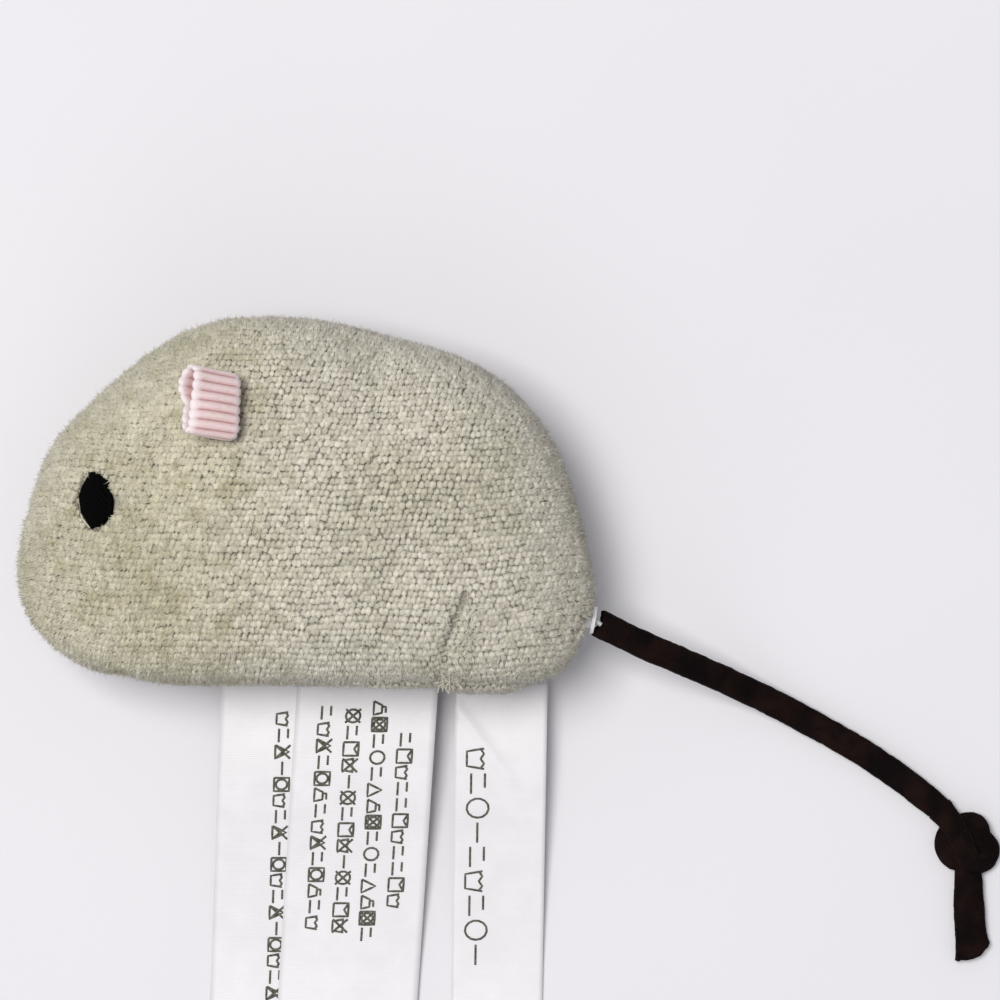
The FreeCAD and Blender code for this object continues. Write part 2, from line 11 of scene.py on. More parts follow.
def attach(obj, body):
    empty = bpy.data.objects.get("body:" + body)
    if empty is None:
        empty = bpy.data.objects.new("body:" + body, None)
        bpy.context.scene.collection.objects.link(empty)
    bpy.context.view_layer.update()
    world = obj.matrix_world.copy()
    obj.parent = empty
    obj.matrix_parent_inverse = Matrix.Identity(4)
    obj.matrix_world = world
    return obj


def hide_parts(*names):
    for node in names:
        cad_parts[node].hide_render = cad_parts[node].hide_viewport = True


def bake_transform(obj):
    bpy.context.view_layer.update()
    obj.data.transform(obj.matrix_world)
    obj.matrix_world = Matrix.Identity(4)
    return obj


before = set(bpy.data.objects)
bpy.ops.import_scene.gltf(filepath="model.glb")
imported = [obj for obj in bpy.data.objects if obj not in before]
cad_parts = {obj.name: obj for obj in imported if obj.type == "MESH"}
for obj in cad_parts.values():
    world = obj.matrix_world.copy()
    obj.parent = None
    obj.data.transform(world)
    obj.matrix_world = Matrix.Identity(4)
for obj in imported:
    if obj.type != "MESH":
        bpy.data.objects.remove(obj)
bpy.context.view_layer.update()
scene = bpy.context.scene
MM = 0.001


# ---- Camera, floor and studio light ----
# The camera hangs straight above the toy, and the floor is a pale matt sweep. One wide soft box at the
# upper left gives the main light, and a large dim one and the pale surroundings fill the shadows.
class Signal:
    """A shader socket that can be used in arithmetic."""

    def __init__(self, tree, socket):
        self.tree, self.socket = tree, socket

    def join(self, operation, other, flipped=False):
        node = self.tree.nodes.new("ShaderNodeMath")
        node.operation = operation
        for slot, value in zip(node.inputs, (other, self) if flipped else (self, other)):
            if isinstance(value, Signal):
                self.tree.links.new(value.socket, slot)
            else:
                slot.default_value = value
        return Signal(self.tree, node.outputs[0])

    def __add__(self, other):
        return self.join("ADD", other)

    def __sub__(self, other):
        return self.join("SUBTRACT", other)

    def __rsub__(self, other):
        return self.join("SUBTRACT", other, flipped=True)

    def __mul__(self, other):
        return self.join("MULTIPLY", other)

    __radd__, __rmul__ = __add__, __mul__


class Finish:
    """A material in the making, around one Principled shader whose fixed sockets are given at the start."""

    def __init__(self, name, fixed):
        self.material = bpy.data.materials.new(name)
        self.material.use_nodes = True
        self.tree = self.material.node_tree
        self.shader = self.tree.nodes["Principled BSDF"]
        for socket, value in fixed.items():
            self.put(socket, value)

    def put(self, socket, value, node=None):
        slot = (node or self.shader).inputs[socket]
        if isinstance(value, Signal):
            self.tree.links.new(value.socket, slot)
        elif slot.type == "RGBA":
            slot.default_value = (*value, 1)
        else:
            slot.default_value = value

    def node(self, kind, settings=None, sockets=None, output=0):
        made = self.tree.nodes.new("ShaderNode" + kind)
        for name, value in (settings or {}).items():
            if name == "stops":
                ramp = made.color_ramp.elements
                while len(ramp) < len(value):
                    ramp.new(0.5)
                for stop, (place, colour) in zip(ramp, value):
                    stop.position = place
                    stop.color = (*colour, 1)
            else:
                setattr(made, name, value)
        for socket, value in (sockets or {}).items():
            self.put(socket, value, made)
        return Signal(self.tree, made.outputs[output])

    def place(self, scale=(1, 1, 1)):
        where = self.node("TexCoord", output="Object")
        return self.node("Mapping", sockets={"Vector": where, "Scale": scale})

    def uv(self):
        return self.node("UVMap", {"uv_map": "Cloth"})

    def kept(self, name):
        """A number stored on the mesh."""
        return self.node("Attribute", {"attribute_name": name}, output="Fac")

    def grain(self, size, vector, detail=3.0):
        sockets = {"Vector": vector, "Scale": 1 / size, "Detail": detail, "Roughness": 0.55}
        return self.node("TexNoise", sockets=sockets)

    def mix(self, first, second, share, how="MIX"):
        settings = {"data_type": "RGBA", "blend_type": how}
        return self.node("Mix", settings, {0: share, 6: first, 7: second}, output=2)

    def tinted(self, colour, tint, share):
        """The colour, multiplied by the tint as far as the share goes."""
        return self.mix(colour, self.mix(colour, tint, 1.0, "MULTIPLY"), share)

    def ramp(self, value, stops):
        return self.node("ValToRGB", {"stops": stops}, {"Fac": value})

    def span(self, value, low, high, to_low=0.0, to_high=1.0):
        numbers = {"Value": value, "From Min": low, "From Max": high, "To Min": to_low, "To Max": to_high}
        return self.node("MapRange", {"clamp": True}, numbers)

    def relief(self, height, depth, strength):
        sockets = {"Height": height, "Distance": depth, "Strength": strength}
        self.put("Normal", self.node("Bump", sockets=sockets))


VIEW_WIDTH = 0.1238                    # what the camera takes in at the height of the seam
VIEW_MIDDLE = (0.0240, 0.0005)
SEAM_HEIGHT, CAMERA_ABOVE = 0.015, 0.5
camera_data = bpy.data.cameras.new("camera")
camera = bpy.data.objects.new("camera", camera_data)
scene.collection.objects.link(camera)
camera.location = (*VIEW_MIDDLE, SEAM_HEIGHT + CAMERA_ABOVE)
camera_data.lens = camera_data.sensor_width * CAMERA_ABOVE / VIEW_WIDTH
camera_data.clip_start = 0.01
scene.camera = camera
scene.view_settings.view_transform = "Standard"


def soft_box(name, size, power, place, aim, colour):
    light = bpy.data.lights.new(name, "AREA")
    light.size, light.energy, light.color = size, power, colour
    lamp = bpy.data.objects.new(name, light)
    scene.collection.objects.link(lamp)
    lamp.location = place
    lamp.rotation_euler = (Vector(aim) - Vector(place)).to_track_quat("-Z", "Y").to_euler()


soft_box("main_light", 0.4, 8.2, (-0.21, 0.12, 0.99), (0.02, 0, 0), (1.0, 0.99, 0.975))
soft_box("front_light", 0.8, 0.8, (-0.1, -0.75, 0.62), (0, -0.02, 0), (0.98, 0.985, 1.0))
world = bpy.data.worlds.new("surroundings")
world.use_nodes = True
sky = world.node_tree.nodes["Background"].inputs
sky["Color"].default_value = (0.93, 0.94, 1.0, 1)
sky["Strength"].default_value = 0.39
scene.world = world

paper = Finish("floor_paper", {"Roughness": 0.75, "Specular IOR Level": 0.25})
paper_tone = paper.grain(0.09, paper.place(), detail=2.0)
paper_stops = [(0.3, (0.735, 0.722, 0.745)), (0.7, (0.76, 0.747, 0.77))]
paper.put("Base Color", paper.ramp(paper_tone, paper_stops))
paper.relief(paper.grain(0.0012, paper.place()), 0.00003, 0.4)


def new_object(name, mesh, material=None):
    made = bpy.data.objects.new(name, mesh)
    scene.collection.objects.link(made)
    if material:
        mesh.materials.clear()
        mesh.materials.append(material)
    return made


def smooth(mesh):
    mesh.polygons.foreach_set("use_smooth", [True] * len(mesh.polygons))
    return mesh


def mesh_of(name, points, faces):
    mesh = bpy.data.meshes.new(name)
    mesh.from_pydata([tuple(p) for p in points], [], faces)
    mesh.update()
    return smooth(mesh)


FLOOR_HALF = 1.6
floor_corners = [(-FLOOR_HALF, -FLOOR_HALF, 0), (FLOOR_HALF, -FLOOR_HALF, 0),
                 (FLOOR_HALF, FLOOR_HALF, 0), (-FLOOR_HALF, FLOOR_HALF, 0)]
new_object("floor", mesh_of("floor", floor_corners, [(0, 1, 2, 3)]), paper.material)


# ---- The tail ----
# A flat suede lace, brushed and nearly black. It is tied in an overhand knot near its end and cut across
# with pinking shears at its root and on the slant at its tip. Everything on it moves with the pull.
TAIL_ROUTE = [(36.3, -14.8, 14.5), (41.4, -17.4, 13.3), (49.1, -20.7, 8.6), (55.8, -23.8, 3.7),
              (62.1, -27.0, 1.8), (73.9, -33.7, 1.7), (80.9, -39.6, 1.7)]
KNOT_ROUTE = [(79.9, -38.8, 1.15), (81.5, -40.5, 1.9), (82.3, -42.2, 3.3), (82.9, -44.0, 3.4),
              (83.9, -45.6, 2.5), (85.5, -45.6, 1.6), (86.3, -44.3, 1.5), (85.7, -43.0, 2.0),
              (84.5, -42.6, 2.3), (84.9, -41.5, 2.2), (84.2, -40.5, 1.6), (82.8, -40.8, 1.1),
              (81.4, -41.5, 1.1), (80.4, -43.2, 1.5), (81.4, -45.1, 1.8), (83.3, -45.3, 1.2),
              (83.6, -46.6, 1.15)]
TIP_ROUTE = [(83.6, -46.0, 1.75), (83.5, -51.6, 1.7), (84.2, -58.0, 1.7)]
LACE_WIDE, LACE_THICK = 3.45 * MM, 2.1 * MM
LACE_DROP = 0.55 * MM                  # the lace is flatter than a round cord, so it lies this much lower
LACE_STEP, KNOT_STEP = 0.28 * MM, 0.2 * MM
KNOT_AT = Vector((83.3, -42.9, 2.2)) * MM
SLANT_RINGS = 16                       # how many rings before its end the lace's slanted cut starts to show
EDGE_ROUND = 0.75                      # lower is squarer
FLOOR_GAP = 0.03 * MM                  # nothing soft comes nearer to the floor than this


def ring_faces(rings, around):
    """The four-cornered faces between rings of points, which follow each other in a list."""
    return [(k * around + j, k * around + (j + 1) % around, (k + 1) * around + (j + 1) % around,
             (k + 1) * around + j) for k in range(rings - 1) for j in range(around)]


def tube_faces(rings, around):
    """The same, with a cap at each end."""
    ends = [tuple(reversed(range(around))), tuple(range((rings - 1) * around, rings * around))]
    return ring_faces(rings, around) + ends


def faced_out(mesh):
    """The closed mesh with all its faces turned outwards."""
    turned = bmesh.new()
    turned.from_mesh(mesh)
    bmesh.ops.recalc_face_normals(turned, faces=turned.faces)
    turned.to_mesh(mesh)
    turned.free()
    return mesh


def store(mesh, name, values):
    """Keeps a number for each point of a mesh, for its material or its pile."""
    mesh.attributes.new(name, "FLOAT", "POINT").data.foreach_set("value", values)


def along_nurbs(route):
    """Evenly spaced points along the smooth line that a list of control points in millimetres gives."""
    curve = bpy.data.curves.new("route", "CURVE")
    curve.dimensions = "3D"
    curve.resolution_u = 24
    spline = curve.splines.new("NURBS")
    spline.points.add(len(route) - 1)
    for point, place in zip(spline.points, route):
        point.co = (*[c * MM for c in place], 1)
    spline.order_u = 3
    spline.use_endpoint_u = True
    holder = bpy.data.objects.new("route", curve)
    line = bpy.data.meshes.new_from_object(holder)
    found = [v.co.copy() for v in line.vertices]
    bpy.data.objects.remove(holder)
    return found


def respaced(points, step):
    """The same line with its points a fixed step apart."""
    points = np.array(points)
    lengths = np.concatenate([[0], np.cumsum(np.linalg.norm(np.diff(points, axis=0), axis=1))])
    places = np.linspace(0, lengths[-1], max(3, round(lengths[-1] / step) + 1))
    return np.stack([np.interp(places, lengths, points[:, k]) for k in range(3)], axis=1), lengths[-1]


def rounded(value):
    """A sine or cosine, made to follow a rounded oblong instead of a circle."""
    return math.copysign(abs(value) ** EDGE_ROUND, value)


def lace(name, points, wide, thick, start_teeth=0.0, end_teeth=0.0, slant=0.0, up=None):
    """A closed flat strip with rounded edges that follows points. The ends can be toothed, and the far one
    cut back by slant on one side."""
    count, sides = len(points), 20
    wide, thick = np.broadcast_to(wide, count), np.broadcast_to(thick, count)
    ahead = np.gradient(points, axis=0)
    ahead /= np.linalg.norm(ahead, axis=1)[:, None]
    upward = np.tile((0.0, 0.0, 1.0), (count, 1)) if up is None else up
    across = np.cross(ahead, upward)
    across /= np.linalg.norm(across, axis=1)[:, None]
    upward = np.cross(across, ahead)
    corners, edge = [], []
    for k in range(count):
        for j in range(sides):
            angle = 2 * math.pi * j / sides
            side = rounded(math.cos(angle))
            rise = rounded(math.sin(angle)) * (1 - 0.16 * (1 - abs(side)) ** 2)
            corner = points[k] + across[k] * (wide[k] / 2) * side + upward[k] * (thick[k] / 2) * rise
            tooth = 1 - abs((side * 3.5) % 2 - 1) * 2
            if k == 0:
                corner = corner - ahead[k] * start_teeth * tooth
            if k == count - 1:
                corner = corner + ahead[k] * end_teeth * tooth
            late = max(0.0, 1 - (count - 1 - k) / SLANT_RINGS)
            corner = corner - ahead[k] * slant * late * (max(0.0, -side) ** 1.6 + 0.1 * max(0.0, side))
            fine = noise.noise(Vector(corner) * 2600) * 0.05 * MM
            coarse = noise.noise(Vector(corner) * 700) * 0.09 * MM
            corner = corner + (across[k] * side + upward[k] * rise) * (fine + coarse)
            corner[2] = max(corner[2], FLOOR_GAP)
            corners.append(corner)
            edge.append(abs(side) ** 4)
    mesh = mesh_of(name, corners, tube_faces(count, sides))
    store(mesh, "edge", edge)
    return faced_out(mesh)


def lowered(line, share_at=lambda point: 1.0):
    """A line let down to where the flat lace lies."""
    return [p - Vector((0, 0, LACE_DROP * share_at(p))) for p in line]


suede = Finish("tail_suede", {"Roughness": 0.85, "Specular IOR Level": 0.05})
nap = suede.grain(0.00035, suede.place(), detail=4.0)
patches = suede.grain(0.004, suede.place())
# Paler along both edges of the lace: rubbed wear, and a painted highlight along them.
edge_wear_and_highlight = suede.span(suede.kept("edge"), 0.6, 1.0)
dark = suede.mix((0.0040, 0.0021, 0.0022), (0.0115, 0.0052, 0.0042), suede.span(patches, 0.4, 0.65))
flecked = suede.mix(dark, (0.040, 0.028, 0.024), suede.span(nap, 0.62, 0.80, 0.0, 0.55))
rubbed_and_highlit = edge_wear_and_highlight * suede.span(nap, 0.45, 0.65, 0.0, 0.5)
suede.put("Base Color", suede.mix(flecked, (0.045, 0.030, 0.025), rubbed_and_highlit))
suede.put("Roughness", suede.span(nap, 0.3, 0.7, 0.7, 0.95))
suede.relief(nap, 0.00012, 0.8)

# The lace leaves the eyelet at full height and is drawn in at its other end, where the knot grips it.
tail_line = lowered(along_nurbs(TAIL_ROUTE), lambda point: min(1, max(0, (point.x - 0.037) / 0.012)))
tail_line, _ = respaced(tail_line, LACE_STEP)
tail_wide = LACE_WIDE * (1 - 0.22 * np.linspace(0, 1, len(tail_line)) ** 40)
tail_mesh = lace("tail_lace", tail_line, tail_wide, LACE_THICK, start_teeth=0.35 * MM)
tail_cord = new_object("tail_lace", tail_mesh, suede.material)

# The knot is the same lace, pulled narrower: it goes over the middle, round by the right and the top, under
# itself, and round by the left to its foot. Its flat side leans away from the middle of the knot.
KNOT_WIDE = 3.0 * MM
knot_line, _ = respaced(along_nurbs(KNOT_ROUTE), KNOT_STEP)
radial = knot_line - np.array(KNOT_AT)
knot_up = np.stack([radial[:, 0] * 300, radial[:, 1] * 300, np.full(len(radial), 1.0)], axis=1)
knot_wide = KNOT_WIDE + (LACE_WIDE - KNOT_WIDE) * np.exp(-(np.arange(len(knot_line)) / 9) ** 2)
knot_mesh = lace("tail_knot", knot_line, knot_wide, LACE_THICK, up=knot_up)
tail_knot = new_object("tail_knot_lace", knot_mesh, suede.material)

# The stub after it gets wider and thinner towards its cut.
tip_line, _ = respaced(lowered(along_nurbs(TIP_ROUTE)), LACE_STEP)
flare = np.linspace(0, 1, len(tip_line))
tip_wide = LACE_WIDE * (0.96 + 0.18 * np.minimum(1, flare * 2.5) + 0.22 * flare ** 9)
tip_thick = LACE_THICK * (1 - 0.35 * flare ** 2)
tip_mesh = lace("tail_tip", tip_line, tip_wide, tip_thick, end_teeth=0.18 * MM, slant=2.1 * MM)
tail_tip = new_object("tail_tip_lace", tip_mesh, suede.material)
for piece, node in ((tail_cord, "tail_cord"), (tail_knot, "tail_knot"), (tail_tip, "tail_end")):
    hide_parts(node)
    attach(piece, "tail")


# ---- The stuffed body ----
# Three panels of short-pile knitted plush are sewn together inside out, turned, stuffed and closed along
# the back. The filling swells the cloth between the seams, and its own weight flattens the side below.
MID_Z = 14.5 * MM
BASE_SEAM_Y = -21.7 * MM
PILE = 0.75 * MM                       # the tufts stand this far above the backing cloth
BLOW_UP = 10                           # the cloth is simulated at ten times its size
VOXEL, SWELL = 0.95 * MM, 1.3 * MM
CLOTH_FRAMES = 20
HELD = 1.6 * MM                        # the cloth is held fast up to this far from a seam
HEART = Vector((0, -1 * MM, MID_Z))
DART = [(19.9, -10.8), (18.9, -13.1), (18.2, -14.9), (17.4, -16.8), (17.0, -19.5), (17.0, -22.6)]
EYE_AT, EYE_SCALE = (-25.05, 0.5), 1.02
EYE_OUTLINE = [(-0.74, 3.28), (0.13, 3.12), (1.10, 2.60), (1.63, 1.98), (1.45, 1.35), (1.95, 0.70),
               (2.19, -0.10), (2.03, -1.80), (0.92, -2.91), (-0.58, -3.38), (-1.84, -1.49), (-2.16, 0.40),
               (-1.68, 1.83)]
EAR_AT = Vector((-9.1, 11.3, 27.986)) * MM
EAR_LONG, EAR_WIDE, EAR_DEEP = 8.2 * MM, 6.0 * MM, 3.2 * MM
# The seams are drawn in and gathered, and the haunch tuck is drawn in beside a low swelling. How deep, and
# over what width, with the tuck's depth at its top and what it gains on the way down.
SEAM_DEEP, SEAM_WIDE = 0.7 * MM, 1.1 * MM
GATHER_DEEP, GATHER_WIDE = 0.42 * MM, 3.2 * MM
TUCK_TOP, TUCK_GAIN, TUCK_WIDE = 0.6, 0.9, 0.7 * MM
HAUNCH_HIGH, HAUNCH_OFF, HAUNCH_WIDE = 0.22 * MM, 3.2 * MM, 2.4 * MM


def tree_of(*meshes):
    """The meshes as one tree of faces that rays can be cast at."""
    corners, faces = [], []
    for mesh in meshes:
        start = len(corners)
        corners += [v.co.copy() for v in mesh.vertices]
        faces += [[start + i for i in p.vertices] for p in mesh.polygons]
    return BVHTree.FromPolygons(corners, faces)


def remeshed(thing, voxel):
    """Gives an object's mesh even faces, of about this size."""
    evener = thing.modifiers.new("even", "REMESH")
    evener.mode, evener.voxel_size, evener.use_smooth_shade = "VOXEL", voxel, True


def finished_mesh(thing):
    """The plain mesh that an object's modifiers give. The object itself goes."""
    depsgraph = bpy.context.evaluated_depsgraph_get()
    mesh = bpy.data.meshes.new_from_object(thing.evaluated_get(depsgraph))
    bpy.data.objects.remove(thing)
    return mesh


# Where the filling makes the side view fuller or leaner: the direction from the heart in degrees, how
# much in millimetres, and over how many degrees.
FULLER = [(22, 0.35, 16), (-37, 0.45, 12), (-17, 0.25, 6), (217, -0.9, 18), (82, 0.5, 15), (167, 0.6, 9)]


def bump_at(distance, width):
    """1 at no distance, falling smoothly to 0 beyond the width."""
    return math.exp(-(distance / width) ** 2)


def seam_distance(place):
    """How far a point is from the nearest seam, and how far along the seams it is."""
    from_side = abs(place.z - MID_Z) if place.y > BASE_SEAM_Y else 1.0
    from_base = abs(place.y - BASE_SEAM_Y)
    return min(from_side, from_base), math.atan2(place.y, place.x) * 0.03 + place.z


def dart_distance(x, y):
    """How far a point is from the haunch tuck, how far to its right, and the share of the way down it."""
    best = (1.0, 0.0, 0.0)
    for k, (a, b) in enumerate(zip(DART, DART[1:])):
        a, b = Vector(a) * MM, Vector(b) * MM
        share = max(0.0, min(1.0, (Vector((x, y)) - a).dot(b - a) / (b - a).length_squared))
        gap = Vector((x, y)) - (a + (b - a) * share)
        if gap.length < best[0]:
            best = (gap.length, gap.x, (k + share) / (len(DART) - 1))
    return best


def under_ear(place):
    """Whether a point of the right side lies where the flattened right ear is."""
    return (place.z < MID_Z and abs(place.x - EAR_AT.x + EAR_WIDE / 2) < EAR_WIDE / 2 + 0.5 * MM
            and abs(place.y - EAR_AT.y) < EAR_LONG / 2 + 0.5 * MM)


def swollen(mesh):
    """The form blown up by its filling, held along the seams, with no point moved further than SWELL."""
    mesh.transform(Matrix.Scale(BLOW_UP, 4))
    form = new_object("form", mesh)
    start = np.array([v.co for v in mesh.vertices])
    held = form.vertex_groups.new(name="held")
    for v in mesh.vertices:
        away, _ = seam_distance(v.co / BLOW_UP)
        held.add([v.index], max(0.0, 1 - away / HELD), "REPLACE")
    cloth = form.modifiers.new("cloth", "CLOTH")
    cloth.settings.use_pressure = True
    cloth.settings.uniform_pressure_force = 4
    cloth.settings.vertex_group_mass = "held"
    cloth.settings.effector_weights.gravity = 0
    cloth.settings.bending_stiffness = 0.6
    for step in range(1, CLOTH_FRAMES + 1):
        scene.frame_set(step)
        bpy.context.view_layer.update()
    mesh = finished_mesh(form)
    scene.frame_set(1)
    moved = np.array([v.co for v in mesh.vertices]) - start
    far = np.linalg.norm(moved, axis=1)
    moved *= (np.minimum(far, SWELL * BLOW_UP) / np.maximum(far, 1e-9))[:, None]
    mesh.vertices.foreach_set("co", (start + moved).ravel())
    mesh.transform(Matrix.Scale(1 / BLOW_UP, 4))
    return mesh


skin_nodes = ("side_panel_left", "side_panel_right", "base_panel")
cad_skin = tree_of(*[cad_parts[n].data for n in skin_nodes])
ball = bmesh.new()
bmesh.ops.create_icosphere(ball, subdivisions=6, radius=1)
for v in ball.verts:
    way = v.co.normalized()
    outside, *_ = cad_skin.ray_cast(HEART + way * 0.1, -way)
    v.co = outside - way * (PILE + 0.35 * MM)
ball_mesh = bpy.data.meshes.new("form")
ball.to_mesh(ball_mesh)
ball.free()
form = new_object("form", ball_mesh)
remeshed(form, VOXEL)
softer = form.modifiers.new("soft", "SMOOTH")
softer.factor, softer.iterations = 0.5, 6
stuffed = finished_mesh(form)
stuffed = swollen(stuffed)

shape = bmesh.new()
shape.from_mesh(stuffed)
shape.normal_update()
for v in shape.verts:
    away, along = seam_distance(v.co)
    gather = noise.noise(Vector((along * 420, away * 120, 3.0)))
    push = noise.noise(v.co * 95) * 0.35 * MM + noise.noise(v.co * 260) * 0.12 * MM
    push += GATHER_DEEP * gather * math.exp(-away / GATHER_WIDE) - SEAM_DEEP * bump_at(away, SEAM_WIDE)
    if v.co.z > MID_Z:
        gap, side, down = dart_distance(v.co.x, v.co.y)
        push -= (TUCK_TOP + TUCK_GAIN * down) * (1 - down ** 4) * MM * bump_at(gap, TUCK_WIDE)
        push += HAUNCH_HIGH * down * bump_at(side - HAUNCH_OFF, HAUNCH_WIDE) * (gap < 8 * MM)
    way = math.degrees(math.atan2(v.co.y - HEART.y, v.co.x))
    for middle, more, width in FULLER:
        off = (way - middle + 180) % 360 - 180
        push += more * MM * bump_at(off, width) * bump_at(v.co.z - MID_Z, 9 * MM)
    v.co += v.normal * push
    v.co.z = max(v.co.z, 1.5 * MM if under_ear(v.co) else PILE * 0.85)
shape.to_mesh(stuffed)
shape.free()
body_tree = tree_of(stuffed)


def surface(x, y, side=1):
    """Where the backing cloth is at a place on the left side, or on the right one."""
    hit, *_ = body_tree.ray_cast(Vector((x, y, MID_Z + side * 0.1)), Vector((0, 0, -side)))
    return hit


def inside(x, y, outline):
    """Whether a place is inside an outline."""
    crossings = 0
    for (ax, ay), (bx, by) in zip(outline, outline[1:] + outline[:1]):
        if (ay > y) != (by > y) and x < ax + (y - ay) * (bx - ax) / (by - ay):
            crossings += 1
    return crossings % 2 == 1


# ---- The plush panels ----
# Each panel is a knitted backing with rows of looped pile tufts. The rows run on a slant, the pile is
# brushed flatter and greener round the head, and it is parted along the seams and the haunch tuck.
TUFT_PITCH, ROW_PITCH, ROW_SLANT = 0.80 * MM, 0.80 * MM, 0.42
TUFT_SPINS = (-0.55, -0.25)            # the tufts are turned along the slanted columns
TUFT_HALF, STRAND_HALF = (0.39, 0.47), (0.36, 0.42)
DRIFT, JITTER = 0.0019, (0.00007, 0.00013, 0)
PARTED = 0.45 * MM                     # the pile is this far apart on each side of the haunch tuck
HAIRS_PER_M2 = 2.6e6
SETTLE_STEPS, SETTLE_RATE = 1200, 1.4  # for spreading a panel out flat
BACKING = 0.5 * MM


def panel_mesh(name, keep):
    """The part of the stuffed form whose faces keep accepts, with its rim tucked into the seam."""
    cut = bmesh.new()
    cut.from_mesh(stuffed)
    for place, direction in (((0, 0, MID_Z), (0, 0, 1)), ((0, BASE_SEAM_Y, 0), (0, 1, 0))):
        everything = cut.verts[:] + cut.edges[:] + cut.faces[:]
        bmesh.ops.bisect_plane(cut, geom=everything, plane_co=place, plane_no=direction)
    unwanted = [f for f in cut.faces if not keep(f.calc_center_median())]
    bmesh.ops.delete(cut, geom=unwanted, context="FACES")
    cut.normal_update()
    for v in cut.verts:
        if v.is_boundary:
            v.co -= v.normal * 0.5 * MM
    mesh = bpy.data.meshes.new(name)
    cut.to_mesh(mesh)
    cut.free()
    return smooth(mesh)


def lay_flat(mesh, axes, facing):
    """Gives a panel the map of the flat cloth that it is cut from, in metres: it is spread out round the
    middle as a globe is, and then its sides and diagonals are springs that settle to their real lengths."""
    solid = np.array([v.co for v in mesh.vertices])
    rims = [tuple(p.vertices) for p in mesh.polygons]
    pairs = np.array(sorted({(min(a, b), max(a, b)) for rim in rims for a in rim for b in rim if a != b}))
    first, second = pairs.T
    rest = np.linalg.norm(solid[second] - solid[first], axis=1)
    spread = solid - np.array(HEART)
    reach = np.linalg.norm(spread, axis=1)
    turned = np.arccos(np.clip(spread @ np.array(facing) / reach, -1, 1))
    level = spread[:, axes]
    flat = level / np.maximum(np.linalg.norm(level, axis=1), 1e-9)[:, None] * (reach * turned)[:, None]
    count = len(flat)
    shared = np.bincount(pairs.ravel(), minlength=count)
    for _ in range(SETTLE_STEPS):
        gap = flat[second] - flat[first]
        span = np.linalg.norm(gap, axis=1)
        push = gap * (0.5 * (span - rest) / np.maximum(span, 1e-9))[:, None]
        for k in (0, 1):
            pull = np.bincount(first, push[:, k], count) - np.bincount(second, push[:, k], count)
            flat[:, k] += SETTLE_RATE * pull / shared
    owner = np.empty(len(mesh.loops), int)
    mesh.loops.foreach_get("vertex_index", owner)
    mesh.uv_layers.new(name="Cloth").uv.foreach_set("vector", flat[owner].ravel())
    return np.abs(flat).max(0)


